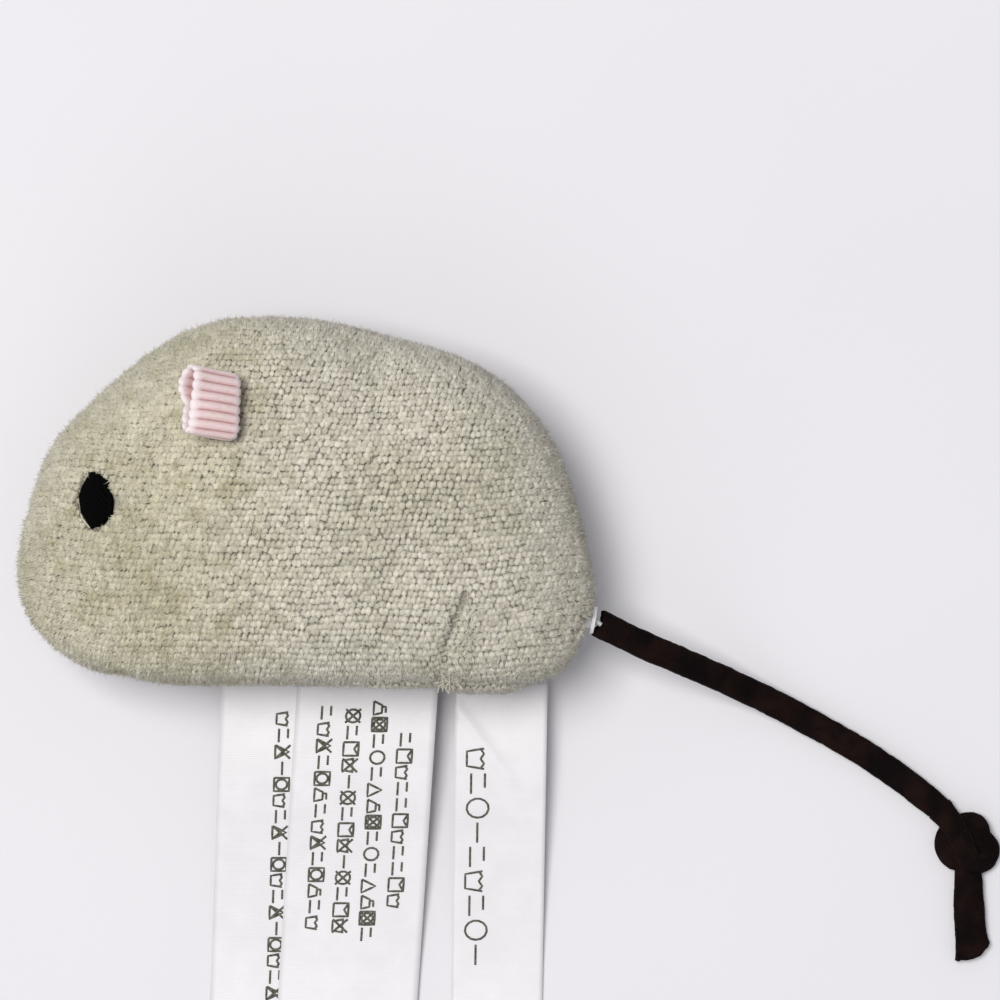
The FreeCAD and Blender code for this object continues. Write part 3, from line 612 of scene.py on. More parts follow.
class Growth:
    """A Geometry Nodes tree in the making, with named inputs."""

    def __init__(self, name, numbers, objects=()):
        self.tree = bpy.data.node_groups.new(name, "GeometryNodeTree")
        sockets = self.tree.interface
        sockets.new_socket("Geometry", in_out="INPUT", socket_type="NodeSocketGeometry")
        for label in numbers:
            sockets.new_socket(label, in_out="INPUT", socket_type="NodeSocketFloat")
        for label in objects:
            sockets.new_socket(label, in_out="INPUT", socket_type="NodeSocketObject")
        sockets.new_socket("Material", in_out="INPUT", socket_type="NodeSocketMaterial")
        sockets.new_socket("Geometry", in_out="OUTPUT", socket_type="NodeSocketGeometry")
        self.given = self.tree.nodes.new("NodeGroupInput").outputs
        self.end = self.tree.nodes.new("NodeGroupOutput").inputs

    def node(self, kind, settings=None, sockets=None, output=0):
        made = self.tree.nodes.new(kind if kind.startswith(("Function", "Shader")) else "GeometryNode" + kind)
        for name, value in (settings or {}).items():
            setattr(made, name, value)
        for socket, value in (sockets or {}).items():
            slot = made.inputs[socket]
            for part in value if isinstance(value, list) else [value]:
                if isinstance(part, bpy.types.NodeSocket):
                    self.tree.links.new(part, slot)
                else:
                    slot.default_value = part
        return made.outputs[output]

    def maths(self, operation, first, second, third=0.0):
        return self.node("ShaderNodeMath", {"operation": operation}, {0: first, 1: second, 2: third})

    def vector(self, operation, first, second):
        return self.node("ShaderNodeVectorMath", {"operation": operation}, {0: first, 1: second})

    def random(self, low, high, seed):
        sockets = {2: low, 3: high, "Seed": seed}
        return self.node("FunctionNodeRandomValue", {"data_type": "FLOAT"}, sockets, output=1)

    def scatter(self, low, high, seed):
        sockets = {0: low, 1: high, "Seed": seed}
        return self.node("FunctionNodeRandomValue", {"data_type": "FLOAT_VECTOR"}, sockets)

    def kept(self, name, kind="FLOAT"):
        return self.node("InputNamedAttribute", {"data_type": kind}, {"Name": name})

    def store(self, geometry, name, value, kind="FLOAT"):
        sockets = {"Geometry": geometry, "Name": name, "Value": value}
        return self.node("StoreNamedAttribute", {"data_type": kind}, sockets)

    def shape(self, label):
        """The geometry of a given object."""
        sockets = {"Object": self.given[label]}
        return self.node("ObjectInfo", {"transform_space": "ORIGINAL"}, sockets, "Geometry")

    def below(self, value, limit):
        return self.node("FunctionNodeCompare", {"operation": "LESS_THAN"}, {0: value, 1: limit})

    def without(self, points, unwanted):
        sockets = {"Geometry": points, "Selection": unwanted}
        return self.node("DeleteGeometry", {"domain": "POINT"}, sockets)

    def moved(self, geometry, place):
        return self.node("SetPosition", sockets={"Geometry": geometry, "Position": place})

    def stand(self, points, labels, normal, lean, spins, seed):
        """Stands one of the shapes on every point, along the normal but leaning, turned and scaled at
        random."""
        kinds = [self.node("GeometryToInstance", sockets={"Geometry": self.shape(s)}) for s in labels]
        upward = self.vector("ADD", normal, lean)
        upright = self.node("FunctionNodeAlignRotationToVector", {"axis": "Z"}, {"Vector": upward})
        turn = self.node("ShaderNodeCombineXYZ", sockets={"Z": self.random(*spins, seed)})
        turn = self.node("FunctionNodeEulerToRotation", sockets={0: turn})
        turned = self.node("FunctionNodeRotateRotation", {"rotation_space": "LOCAL"},
                           {"Rotation": upright, "Rotate By": turn})
        size = self.maths("MULTIPLY", self.random(0.86, 1.14, seed + 1), self.kept("size"))
        return self.node("InstanceOnPoints", sockets={
            "Points": points, "Instance": self.node("JoinGeometry", sockets={"Geometry": kinds}),
            "Pick Instance": True, "Rotation": turned, "Scale": size})

    def above_floor(self, geometry):
        """Whatever would reach through the floor is pressed flat on it."""
        place = self.node("ShaderNodeSeparateXYZ", sockets={0: self.node("InputPosition")}).node.outputs
        pressed = self.node("ShaderNodeCombineXYZ", sockets={
            "X": place["X"], "Y": place["Y"], "Z": self.maths("MAXIMUM", place["Z"], FLOOR_GAP)})
        return self.moved(geometry, pressed)

    def close(self, geometry):
        """Makes real geometry of the instances and gives it its material."""
        dressed = self.node("SetMaterial", sockets={
            "Geometry": self.above_floor(self.node("RealizeInstances", sockets={"Geometry": geometry})),
            "Material": self.given["Material"]})
        self.tree.links.new(dressed, self.end["Geometry"])
        return self

    def grow(self, mesh, **values):
        """Runs the tree on a mesh with these inputs, and gives the plain mesh that it makes."""
        ground = new_object("ground", mesh)
        modifier = ground.modifiers.new("grow", "NODES")
        modifier.node_group = self.tree
        for item in self.tree.interface.items_tree:
            if item.in_out == "INPUT" and item.name.replace(" ", "_") in values:
                modifier[item.identifier] = values[item.name.replace(" ", "_")]
        return finished_mesh(ground)


def tuft_rows():
    """Tufts in slanted rows over a panel, placed on its flat cloth and carried to where the cloth is."""
    kinds = ("Tuft 1", "Tuft 2", "Tuft 3")
    rows = Growth("tuft_rows", ("Long", "Wide", "Pitch", "Row Pitch", "Slant"), (*kinds, "Parting"))
    given = rows.given
    grid = rows.node("MeshGrid", sockets={
        "Size X": given["Long"], "Size Y": given["Wide"],
        "Vertices X": rows.maths("DIVIDE", given["Long"], given["Pitch"]),
        "Vertices Y": rows.maths("DIVIDE", given["Wide"], given["Row Pitch"])})
    points = rows.node("MeshToPoints", sockets={"Mesh": grid})
    here = rows.node("InputPosition")
    place = rows.node("ShaderNodeSeparateXYZ", sockets={0: here}).node.outputs
    leaning = rows.node("ShaderNodeCombineXYZ", sockets={
        "X": rows.maths("MULTIPLY_ADD", place["Y"], given["Slant"], place["X"]), "Y": place["Y"]})
    drift = rows.node("ShaderNodeTexNoise", {}, {"Vector": here, "Scale": 75.0, "Detail": 2.0}, "Color")
    drift = rows.vector("MULTIPLY", rows.vector("SUBTRACT", drift, (0.5, 0.5, 0.5)), (DRIFT, DRIFT, 0))
    jitter = rows.scatter(tuple(-j for j in JITTER), JITTER, 4)
    points = rows.moved(points, rows.vector("ADD", rows.vector("ADD", leaning, drift), jitter))

    def on_cloth(value, kind, output="Value"):
        return rows.node("SampleUVSurface", {"data_type": kind}, {
            "Mesh": given["Geometry"], "Value": value, "UV Map": rows.kept("Cloth", "FLOAT_VECTOR"),
            "Sample UV": here}, output)

    points = rows.store(points, "size", on_cloth(rows.kept("fullness"), "FLOAT"))
    bare = rows.below(rows.kept("size"), 0.3)
    off = rows.node("FunctionNodeBooleanMath", {"operation": "NOT"}, {0: on_cloth(0.0, "FLOAT", "Is Valid")})
    unwanted = rows.node("FunctionNodeBooleanMath", {"operation": "OR"}, {0: bare, 1: off})
    points = rows.without(points, unwanted)
    points = rows.store(points, "tone", rows.random(0.0, 1.0, 9))
    points = rows.store(points, "way", on_cloth(rows.node("InputNormal"), "FLOAT_VECTOR"), "FLOAT_VECTOR")
    points = rows.moved(points, on_cloth(here, "FLOAT_VECTOR"))
    line = rows.shape("Parting")
    away = rows.node("Proximity", {"target_element": "EDGES"}, {"Geometry": line}, "Distance")
    points = rows.without(points, rows.below(away, PARTED))
    lean = rows.vector("ADD", (-0.16, -0.20, 0.0), rows.scatter((-0.24, -0.24, -0.1), (0.24, 0.24, 0.1), 5))
    return rows.close(rows.stand(points, kinds, rows.kept("way", "FLOAT_VECTOR"), lean, TUFT_SPINS, 20))


def loose_fibres():
    """Loose fibres all over a panel, most of them lying along the pile."""
    kinds = ("Hair 1", "Hair 2", "Hair 3")
    fibres = Growth("loose_fibres", ("Density",), kinds)
    spots = fibres.node("DistributePointsOnFaces", sockets={
        "Mesh": fibres.given["Geometry"], "Density": fibres.given["Density"], "Seed": 11})
    normal = spots.node.outputs["Normal"]
    points = fibres.store(spots, "size", fibres.kept("fullness"))
    points = fibres.store(points, "tone", fibres.random(0.3, 1.0, 12))
    lean = fibres.scatter((-0.9, -0.9, -0.9), (0.6, 0.6, 0.9), 13)
    return fibres.close(fibres.stand(points, kinds, normal, lean, (-math.pi, math.pi), 30))


def shape_object(name, corners, faces, pile):
    mesh = mesh_of(name, np.array(corners) * MM, faces)
    store(mesh, "pile", pile)
    return new_object(name, mesh)


def tuft_shape(name, seed):
    """One tuft of looped pile, in millimetres: a squarish pillow with an uneven top."""
    lobes, tall = 7, 0.66
    chance = np.random.default_rng(seed)
    ridges = 1 + 0.14 * chance.uniform(-1, 1, lobes)
    corners, pile = [], []
    for height, girth in ((-0.35, 0.80), (0.45, 1.0), (0.86, 0.74)):
        for j in range(lobes):
            angle = 2 * math.pi * (j + 0.4 * chance.uniform()) / lobes
            c, s = math.cos(angle), math.sin(angle)
            reach = girth * ridges[j] * (abs(c) ** 3 + abs(s) ** 3) ** (-1 / 3)
            uneven = 1 + 0.10 * chance.uniform(-1, 1)
            corners.append((TUFT_HALF[0] * reach * c, TUFT_HALF[1] * reach * s, tall * height * uneven))
            pile.append(max(0.0, 0.85 * height))
    corners.append((0, 0, tall * 0.98))
    pile.append(0.85)
    faces = ring_faces(3, lobes)
    faces += [(2 * lobes + j, 2 * lobes + (j + 1) % lobes, 3 * lobes) for j in range(lobes)]
    return shape_object(name, corners, faces + [tuple(reversed(range(lobes)))], pile)


def spike(corners, faces, pile, foot, bend, tip, girth, shades):
    """Adds a thin three-sided spike. It has a bend in it unless bend is None."""
    start = len(corners)
    levels = [foot] if bend is None else [foot, bend]
    for level, centre in enumerate(levels):
        for j in range(3):
            angle = 2 * math.pi * j / 3
            x, y, z = centre
            corners.append((x + girth * math.cos(angle), y + girth * math.sin(angle), z))
            pile.append(shades[level])
    corners.append(tip)
    pile.append(shades[-1])
    last = start + 3 * (len(levels) - 1)
    faces.append((start + 2, start + 1, start))
    for j in range(3):
        if bend is not None:
            faces.append((start + j, start + (j + 1) % 3, last + (j + 1) % 3, last + j))
        faces.append((last + j, last + (j + 1) % 3, last + 3))


def strand_shape(name, seed):
    """The cut ends of one tuft's strands, in millimetres: short spikes that stand out of the pillow."""
    count, turn = 14, 2.4
    chance = np.random.default_rng(seed)
    corners, faces, pile = [], [], []
    for k in range(count):
        x = STRAND_HALF[0] * math.cos(turn * k) * math.sqrt(k / count)
        y = STRAND_HALF[1] * math.sin(turn * k) * math.sqrt(k / count)
        out = chance.uniform(0.9, 1.7)
        tip_x, tip_y = x * out + chance.uniform(-0.20, 0.20), y * out + chance.uniform(-0.20, 0.20)
        tip = (tip_x, tip_y, chance.uniform(0.82, 1.12))
        spike(corners, faces, pile, (x, y, 0.30), None, tip, 0.115, (0.35, 1.15))
    return shape_object(name, corners, faces, pile)


def hair_shape(name, seed):
    """One loose fibre, in millimetres: a thin spike with a bend in it."""
    chance = np.random.default_rng(seed)
    bend, tip = chance.uniform(-0.3, 0.3, 2), chance.uniform(-0.6, 0.6, 2)
    corners, faces, pile = [], [], []
    spike(corners, faces, pile, (0, 0, -0.1), (*bend, 0.75), (*tip, 1.45), 0.045, (0.6, 0.9, 1.1))
    return shape_object(name, corners, faces, pile)


def plush(name, mid, tip):
    """Grey-beige polyester pile, with painted shade dark between the tufts and pale at their tips; greener
    where it is brushed.
    """
    made = Finish(name, {"Roughness": 0.9, "Sheen Weight": 0.30, "Sheen Roughness": 0.45,
                         "Specular IOR Level": 0.15})
    spots = made.place()
    strands = made.grain(0.00022, spots, detail=2.0)
    clouds = made.grain(0.011, spots, detail=3.0)
    # Painted shade: the ramp makes the pile dark at its roots, down between the tufts, and pale at its tips.
    depth = made.span(made.kept("pile") + (strands - 0.5) * 0.5, 0.0, 1.0)
    painted_pile_shade = made.ramp(depth, [(0.0, (0.33, 0.31, 0.24)), (0.45, mid), (1.0, tip)])
    tone = made.mix((0.84, 0.83, 0.80), (1.12, 1.12, 1.12), made.kept("tone"))
    colour = made.mix(painted_pile_shade, tone, 1.0, "MULTIPLY")
    x = made.node("SeparateXYZ", sockets={0: spots}, output=0)
    head = made.span(x + (clouds - 0.5) * 0.03, -0.002, -0.014)
    colour = made.tinted(colour, (0.96, 0.955, 0.88), head)
    tussled = made.span(made.grain(0.0032, spots), 0.50, 0.66, 0.0, 0.8) * made.span(x, 0.004, -0.006)
    colour = made.tinted(colour, (0.80, 0.79, 0.70), tussled)
    made.put("Base Color", made.tinted(colour, (0.90, 0.90, 0.86), made.span(clouds, 0.45, 0.62)))
    made.relief(strands, 0.00008, 0.6)
    return made.material


def mottled(name, fixed, size, low, high, depth, detail=3.0, start=0.3, strength=1.0):
    """A plain material whose colour wavers between two with a fine noise, which also roughens it."""
    made = Finish(name, fixed)
    uneven = made.grain(size, made.place(), detail)
    made.put("Base Color", made.ramp(uneven, [(start, low), (0.7, high)]))
    made.relief(uneven, depth, strength)
    return made, uneven


def fullness(place):
    """How full the pile stands: less in the seams and along the haunch tuck, more towards the nose, and not
    at all under the eyes and the right ear."""
    away, _ = seam_distance(place)
    full = 0.66 + 0.34 * min(1.0, away / HELD)
    full *= 1 + 0.14 * min(1.0, max(0.0, (-place.x - 4 * MM) / (10 * MM)))
    if place.z > MID_Z:
        gap, *_ = dart_distance(place.x, place.y)
        full *= 0.5 + 0.5 * min(1.0, gap / (0.9 * MM))
    eye = [(EYE_AT[0] + x * 1.20 + 0.25, EYE_AT[1] + y * 1.10) for x, y in EYE_OUTLINE]
    return 0.0 if inside(place.x / MM, place.y / MM, eye) or under_ear(place) else full


tufts = {f"Tuft_{k + 1}": tuft_shape(f"tuft_{k}", 40 + k) for k in range(3)}
strands = {f"Tuft_{k + 1}": strand_shape(f"strands_{k}", 50 + k) for k in range(3)}
hairs = {f"Hair_{k + 1}": hair_shape(f"hair_{k}", 60 + k) for k in range(3)}
rows, fibres = tuft_rows(), loose_fibres()
plush_tuft = plush("plush_tufts", (0.53, 0.50, 0.42), (0.675, 0.645, 0.565))
plush_hair = plush("plush_fibres", (0.56, 0.53, 0.45), (0.75, 0.72, 0.64))
# The backing is coloured as dark as the pile's roots: painted shade, where it shows between the tufts.
shaded_backing_cloth, _ = mottled("plush_backing", {"Roughness": 0.95}, 0.0005, (0.30, 0.28, 0.215),
                           (0.44, 0.41, 0.33), 0.0001)

parting_points = []                    # the pile is parted along the tuck's upper part
for (ax, ay), (bx, by) in zip(DART[:4], DART[1:4]):
    for k in range(4):
        parting_points.append(surface((ax + (bx - ax) * k / 4) * MM, (ay + (by - ay) * k / 4) * MM))
parting_mesh = bpy.data.meshes.new("parting")
parting_mesh.from_pydata(parting_points, [(k, k + 1) for k in range(len(parting_points) - 1)], [])
parting = new_object("parting", parting_mesh)

PANELS = {
    "left": ("side_panel_left", [0, 1], (0, 0, 1), lambda c: c.y > BASE_SEAM_Y and c.z > MID_Z),
    "right": ("side_panel_right", [0, 1], (0, 0, -1), lambda c: c.y > BASE_SEAM_Y and c.z < MID_Z),
    "base": ("base_panel", [0, 2], (0, -1, 0), lambda c: c.y < BASE_SEAM_Y),
}
for side, (node, axes, facing, keep) in PANELS.items():
    mesh = panel_mesh(f"plush_{side}", keep)
    reach = lay_flat(mesh, axes, facing)
    store(mesh, "fullness", [fullness(v.co) for v in mesh.vertices])
    lattice = {"Long": 2.9 * reach[0], "Wide": 2.2 * reach[1], "Pitch": TUFT_PITCH, "Row_Pitch": ROW_PITCH,
               "Slant": ROW_SLANT, "Parting": parting}
    pile = {"tufts": rows.grow(mesh.copy(), Material=plush_tuft, **lattice, **tufts),
            "strands": rows.grow(mesh.copy(), Material=plush_hair, **lattice, **strands),
            "fuzz": fibres.grow(mesh.copy(), Material=plush_hair, Density=HAIRS_PER_M2, **hairs)}
    pieces = [new_object(f"plush_{side}_{kind}", grown) for kind, grown in pile.items()]
    cloth = new_object(f"plush_{side}", mesh, shaded_backing_cloth.material)
    thick = cloth.modifiers.new("thick", "SOLIDIFY")
    thick.thickness, thick.offset = BACKING, -1
    pieces.append(new_object(f"plush_{side}", finished_mesh(cloth)))
    for piece in pieces:
        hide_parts(node)
        "plush_" + side
        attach(piece, "root")
for shape in [*tufts.values(), *strands.values(), *hairs.values(), parting]:
    bpy.data.objects.remove(shape)


# ---- Threads: the eyes, the back's closing stitches and loose ends ----
# The eyes are black satin stitch over a low pad, worked from edge to edge. The back seam was closed by
# hand with ladder stitches in a thread that matches the plush.
def thread_tree():
    """Round thread with closed ends along every line of a mesh."""
    tree = Growth("threads", ("Radius",))
    line = tree.node("MeshToCurve", sockets={"Mesh": tree.given["Geometry"]})
    ring = tree.node("CurvePrimitiveCircle", sockets={"Resolution": 6, "Radius": tree.given["Radius"]})
    swept = tree.node("CurveToMesh", sockets={"Curve": line, "Profile Curve": ring, "Fill Caps": True})
    return tree.close(swept)


threads = thread_tree()


def threads_of(name, lines, radius, material):
    """One mesh of thread that follows the lines, which are lists of points in metres."""
    mesh = bpy.data.meshes.new(name)
    corners, edges = [], []
    for line in lines:
        edges += [(len(corners) + k, len(corners) + k + 1) for k in range(len(line) - 1)]
        corners += [tuple(p) for p in line]
    mesh.from_pydata(corners, edges, [])
    return new_object(name, smooth(threads.grow(mesh, Radius=radius, Material=material)))


def thread_finish(name, dark, light, roughness=0.6, sheen=0.2, gloss=0.3):
    made = Finish(name, {"Roughness": roughness, "Sheen Weight": sheen, "Specular IOR Level": gloss})
    twist = made.node("TexWave", {"bands_direction": "DIAGONAL"}, {
        "Vector": made.place(), "Scale": 900, "Distortion": 2.0, "Detail": 2.0}, output=1)
    made.put("Base Color", made.mix(dark, light, twist))
    made.relief(twist, 0.00005, 0.7)
    return made.material


eye_black = thread_finish("eye_thread", (0.0011, 0.0011, 0.0011), (0.0028, 0.0027, 0.0026), 0.9, 0.0, 0.03)
seam_beige = thread_finish("seam_thread", (0.40, 0.37, 0.29), (0.60, 0.57, 0.48))
loose_white = thread_finish("loose_thread", (0.62, 0.60, 0.52), (0.80, 0.78, 0.72))
STITCH_PITCH, EYE_LIFT = 0.235, PILE + 0.45 * MM


def eye(name, side):
    """Satin stitches across the eye's outline over a pad, on one side of the head."""
    outline = [(EYE_AT[0] + x * EYE_SCALE, EYE_AT[1] + y * EYE_SCALE) for x, y in EYE_OUTLINE]
    lines = []
    top, bottom = max(y for _, y in outline), min(y for _, y in outline)
    for y in np.arange(bottom + 0.10, top - 0.02, STITCH_PITCH):
        cuts = [ax + (y - ay) * (bx - ax) / (by - ay)
                for (ax, ay), (bx, by) in zip(outline, outline[1:] + outline[:1]) if (ay > y) != (by > y)]
        left, right = min(cuts) + 0.06, max(cuts) - 0.06
        line = []
        for share in np.linspace(0, 1, 9):
            x = left + (right - left) * share
            at = surface(x * MM, y * MM, side)
            edge = 1 - (2 * share - 1) ** 4
            crown = 0.45 * MM * math.sin(math.pi * share) * min(1, (right - left) / 3)
            height = EYE_LIFT * (0.25 + 0.75 * edge) + crown
            line.append(Vector((at.x, at.y, max(at.z + side * height, 0.16 * MM))))
        lines.append(line)
    stitches = threads_of(name, lines, 0.17 * MM, eye_black)
    middle_x, middle_y = Vector(EYE_AT)
    corners, rings = [], (0.25, 0.6, 0.85, 0.95, 0.95)
    for k, share in enumerate(rings):
        for x, y in outline:
            x, y = middle_x + (x - middle_x) * share, middle_y + (y - middle_y) * share
            at = surface(x * MM, y * MM, side)
            height = (EYE_LIFT + 0.25 * MM * (1 - share)) if k < 4 else -0.1 * MM
            corners.append((at.x, at.y, max(at.z + side * height, 0.06 * MM)))
    mesh = faced_out(mesh_of(name + "_pad", corners, tube_faces(len(rings), len(outline))))
    return [stitches, new_object(name + "_pad", mesh, eye_black)]


for side, name in ((1, "eye_left"), (-1, "eye_right")):
    for piece in eye(name + "_stitches", side):
        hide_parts(name)
        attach(piece, "root")


def above(x, y, height):
    """A point on the left side at this height above the backing, all in millimetres."""
    at = surface(x * MM, y * MM)
    return at + Vector((0, 0, height * MM))


def fluff(spots, seed, count, spread):
    """Brushed-out pile, as bent single fibres around some places of the left side, in millimetres."""
    chance = np.random.default_rng(seed)
    lines = []
    for _ in range(count):
        x, y = np.array(spots[chance.integers(len(spots))]) + chance.normal(0, spread, 2)
        at = above(x, max(y, BASE_SEAM_Y / MM), 0.4)
        line = [at]
        step = (chance.normal(0.05, 0.25), chance.normal(-0.05, 0.25), chance.uniform(0.15, 0.38))
        step = Vector(step) * MM
        for _ in range(3):
            line.append(line[-1] + step)
            step = step + Vector((chance.normal(0, 0.12), chance.normal(0, 0.12), -0.13)) * MM
        lines.append(line)
    return lines


clumps = [(19.9, -15.4), (19.6, -16.8), (18.6, -18.6), (17.9, -20.6), (17.5, -21.9), (20.4, -12.9)]
piece = threads_of("haunch_fluff", fluff(clumps, 5, 190, 0.5), 0.05 * MM, plush_hair)
store(piece.data, "pile", [1.1] * len(piece.data.vertices))
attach(piece, "root")

# Three short ends of thread: by the eye, over the ear and on the tuck, as (x, y, height).
loose_ends = [
    [(-27.0, -1.2, 0.9), (-26.6, -1.9, 1.1), (-26.1, -2.5, 1.15), (-25.7, -2.95, 0.8)],
    [(-12.2, 16.2, 1.3), (-12.0, 16.7, 1.9), (-11.6, 17.2, 1.9), (-11.2, 17.6, 1.2)],
    [(17.5, -13.6, 0.6), (17.6, -14.3, 1.1), (17.8, -15.0, 1.0), (18.1, -15.6, 0.5)],
]
loose_lines = [[above(*spot) for spot in end] for end in loose_ends]
piece = threads_of("loose_ends", loose_lines, 0.055 * MM, loose_white)
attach(piece, "root")

stitches = []
for x in np.arange(-4.0, 16.0, 2.6):
    line = []
    for share in np.linspace(-1, 1, 7):
        z = MID_Z + share * 0.9 * MM
        hit, *_ = body_tree.ray_cast(Vector((x * MM, 0.06, z)), Vector((0, -1, 0)))
        line.append(hit + Vector((share * 0.25 * MM, (0.55 - 0.5 * share ** 2) * MM, 0)))
    stitches.append(line)
piece = threads_of("closing_stitches", stitches, 0.2 * MM, seam_beige)
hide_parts("back_stitches")
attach(piece, "root")


# ---- The ears ----
# Each ear is a loop of pink grosgrain ribbon, ribbed across its width, with paler selvedges. Painted shade
# darkens the rib valleys and the loop's inner face, and a painted highlight pales its open front edge. The
# left one stands open and is a little pinched, and the right one is pressed flat under the head.
RIB, RIB_STEPS = 1.15 * MM, 8          # a rib's pitch, and the points that its crest is drawn with
ribbon = Finish("ear_ribbon", {"Roughness": 0.55, "Sheen Weight": 0.25, "Specular IOR Level": 0.35})
weave_sockets = {"Vector": ribbon.place((1500, 9000, 1500)), "Scale": 1.0, "Detail": 2.0}
weave = ribbon.node("TexNoise", sockets=weave_sockets)
# The ramp paints shade: dark in the rib valleys and pale on the crests.
rib_shade_stops = [(0.0, (0.42, 0.20, 0.20)), (0.45, (0.66, 0.44, 0.43)), (1.0, (0.80, 0.63, 0.62))]
pink = ribbon.ramp(ribbon.kept("crest"), rib_shade_stops)
# Paler selvedges, and along the open front a painted highlight where the edge catches the light.
pink = ribbon.mix(pink, (0.86, 0.76, 0.77), ribbon.kept("selvedge"))
ribbon.put("Base Color", ribbon.tinted(pink, (0.86, 0.84, 0.86), ribbon.span(weave, 0.5, 0.7)))
ribbon.relief(weave, 0.00006, 0.7)


def around_loop(s, straight, radius):
    """A point of the loop seen end on, and the direction out of it there, from how far round it is. The
    second half is the first one turned half way round."""
    turned, s = divmod(s, 2 * straight + math.pi * radius)
    if s < 2 * straight:
        y, z, out_y, out_z = s - straight, -radius, 0.0, -1.0
    else:
        angle = -math.pi / 2 + (s - 2 * straight) / radius
        out_y, out_z = math.cos(angle), math.sin(angle)
        y, z = straight + radius * out_y, radius * out_z
    way = -1 if turned else 1
    return way * y, radius + way * z, way * out_y, way * out_z


def ribbon_loop(name, deep, thick, pinch, place):
    """A flat loop of ribbon. Its opening faces -X, and place carries its points to where it is sewn."""
    radius = deep / 2
    straight = EAR_LONG / 2 - radius
    around = 4 * straight + 2 * math.pi * radius
    steps, across = round(around / RIB) * RIB_STEPS, 13
    middle = [around_loop(around * k / steps, straight, radius) for k in range(steps)]
    crest = [abs(math.sin(math.pi * k / RIB_STEPS)) ** 0.7 for k in range(steps)]
    corners, crest_and_inner_shade, selvedge = [], [], []
    for layer in (1, 0):                                # the outer face, then the inner one
        for w in range(across):
            share = w / (across - 1)                    # 0 at the sewn edge, 1 at the open front
            edge = max(0.0, 1 - min(share * 1.6, 1 - share) / 0.15)
            squeeze = pinch * share ** 2
            overhang = {0: -0.24 * MM, across - 1: 0.22 * MM}.get(w, 0.0)
            for (y, z, out_y, out_z), rib in zip(middle, crest):
                height = (0.17 * MM * rib * (1 - 0.6 * edge)) if layer else (-thick + 0.08 * MM * (1 - rib))
                front = 0.55 * bump_at(y - 2.0 * MM, 1.7 * MM) - 0.35 * bump_at(y + 0.4 * MM, 0.8 * MM)
                x = -EAR_WIDE * share - overhang * rib - squeeze * front * MM * (z < deep / 2)
                dent = 1 / (1 + math.exp((y + 0.3 * MM) / (0.7 * MM)))
                high = (z + out_z * height) * (1 - 0.42 * squeeze * dent * (z > deep / 2))
                high += 0.10 * MM * pinch * math.sin(y * 900 + share * 4)
                corners.append(place @ Vector((x, y + out_y * height, high)))
                # The inner face is painted darker, as shade inside the loop.
                crest_and_inner_shade.append(rib * (0.55 if layer == 0 else 1))
                # The open front edge is paled more strongly, as a painted highlight.
                selvedge.append(min(1.0, edge * (0.9 if share < 0.5 else 1.5)))

    def ring(layer, w, k):
        return (layer * across + w) * steps + k % steps

    faces, last = [], across - 1
    for w in range(across - 1):
        for k in range(steps):
            faces.append((ring(0, w, k), ring(0, w, k + 1), ring(0, w + 1, k + 1), ring(0, w + 1, k)))
            faces.append((ring(1, w, k), ring(1, w + 1, k), ring(1, w + 1, k + 1), ring(1, w, k + 1)))
    for k in range(steps):
        faces.append((ring(0, 0, k), ring(1, 0, k), ring(1, 0, k + 1), ring(0, 0, k + 1)))
        faces.append((ring(0, last, k), ring(0, last, k + 1), ring(1, last, k + 1), ring(1, last, k)))
    mesh = mesh_of(name, corners, faces)
    store(mesh, "crest", crest_and_inner_shade)
    store(mesh, "selvedge", selvedge)
    return new_object(name, faced_out(mesh), ribbon.material)


standing = (Matrix.Translation(EAR_AT) @ Matrix.Rotation(math.radians(-16), 4, "X")
            @ Matrix.Rotation(math.radians(35), 4, "Y") @ Matrix.Translation((0, 0, 0.18 * MM)))
flat_down = Matrix.Translation((EAR_AT.x, EAR_AT.y, 0.32 * MM))
EARS = {                               # body, then depth, cloth thickness, pinch and place
    "ear_left": ("ear", EAR_DEEP - 0.36 * MM, 0.33 * MM, 1.0, standing),
    "ear_right": ("root", 0.62 * MM, 0.24 * MM, 0.0, flat_down),
}
for name, (body, *made_as) in EARS.items():
    piece = ribbon_loop(name + "_ribbon", *made_as)
    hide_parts(name)
    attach(piece, body)


# ---- The labels ----
# Three white satin tapes are sewn into the base seam and lie on the floor. They are printed with plain
# care symbols and bars in dark grey-green, and the narrow one has a crease near its seam.
LABEL_PATH = [(0, -22.3, 4.6), (0, -24.2, 4.65), (0, -28.6, 4.7), (0, -35, 4.2), (0, -45, 2.2),
              (0, -55, 0.7), (0, -61, 0.15), (0, -69, 0.12)]
LABEL_THICK = 0.16 * MM
TAPE_ACROSS, TAPE_ALONG = 22, 60       # points over a tape's width and length
DRIFT_FROM, DRIFT_OVER = BASE_SEAM_Y - 1.6 * MM, 45.7 * MM      # where the tapes run aslant, and how far
path_points, LABEL_LONG = respaced(along_nurbs(LABEL_PATH), 0.5 * MM)
path_places = np.linspace(0, LABEL_LONG, len(path_points))


def label_point(label, u, v, height):
    """Where a point of a label is, from its place across and along the tape in metres. The label is given
    as its left and right edge, how high it lies, how far its end drifts, and whether it is creased."""
    left, _, lift, drift, crease = label
    y = np.interp(v, path_places, path_points[:, 1])
    z = np.interp(v, path_places, path_points[:, 2])
    x = left * MM + u + drift * MM * max(0.0, DRIFT_FROM - y) / DRIFT_OVER
    free = min(1.0, v / (9 * MM))
    wave = (0.16 + 0.16 * noise.noise(Vector((x * 90, y * 55, 1.0)))) * MM * free
    if crease:
        fold = (u - 2.2 * MM) * 0.80 - (v - 6.0 * MM) * 0.60
        wave += 0.35 * MM * bump_at(fold, 0.45 * MM) * (v < 13 * MM)
    return Vector((x, y, z + lift * MM + wave + height))


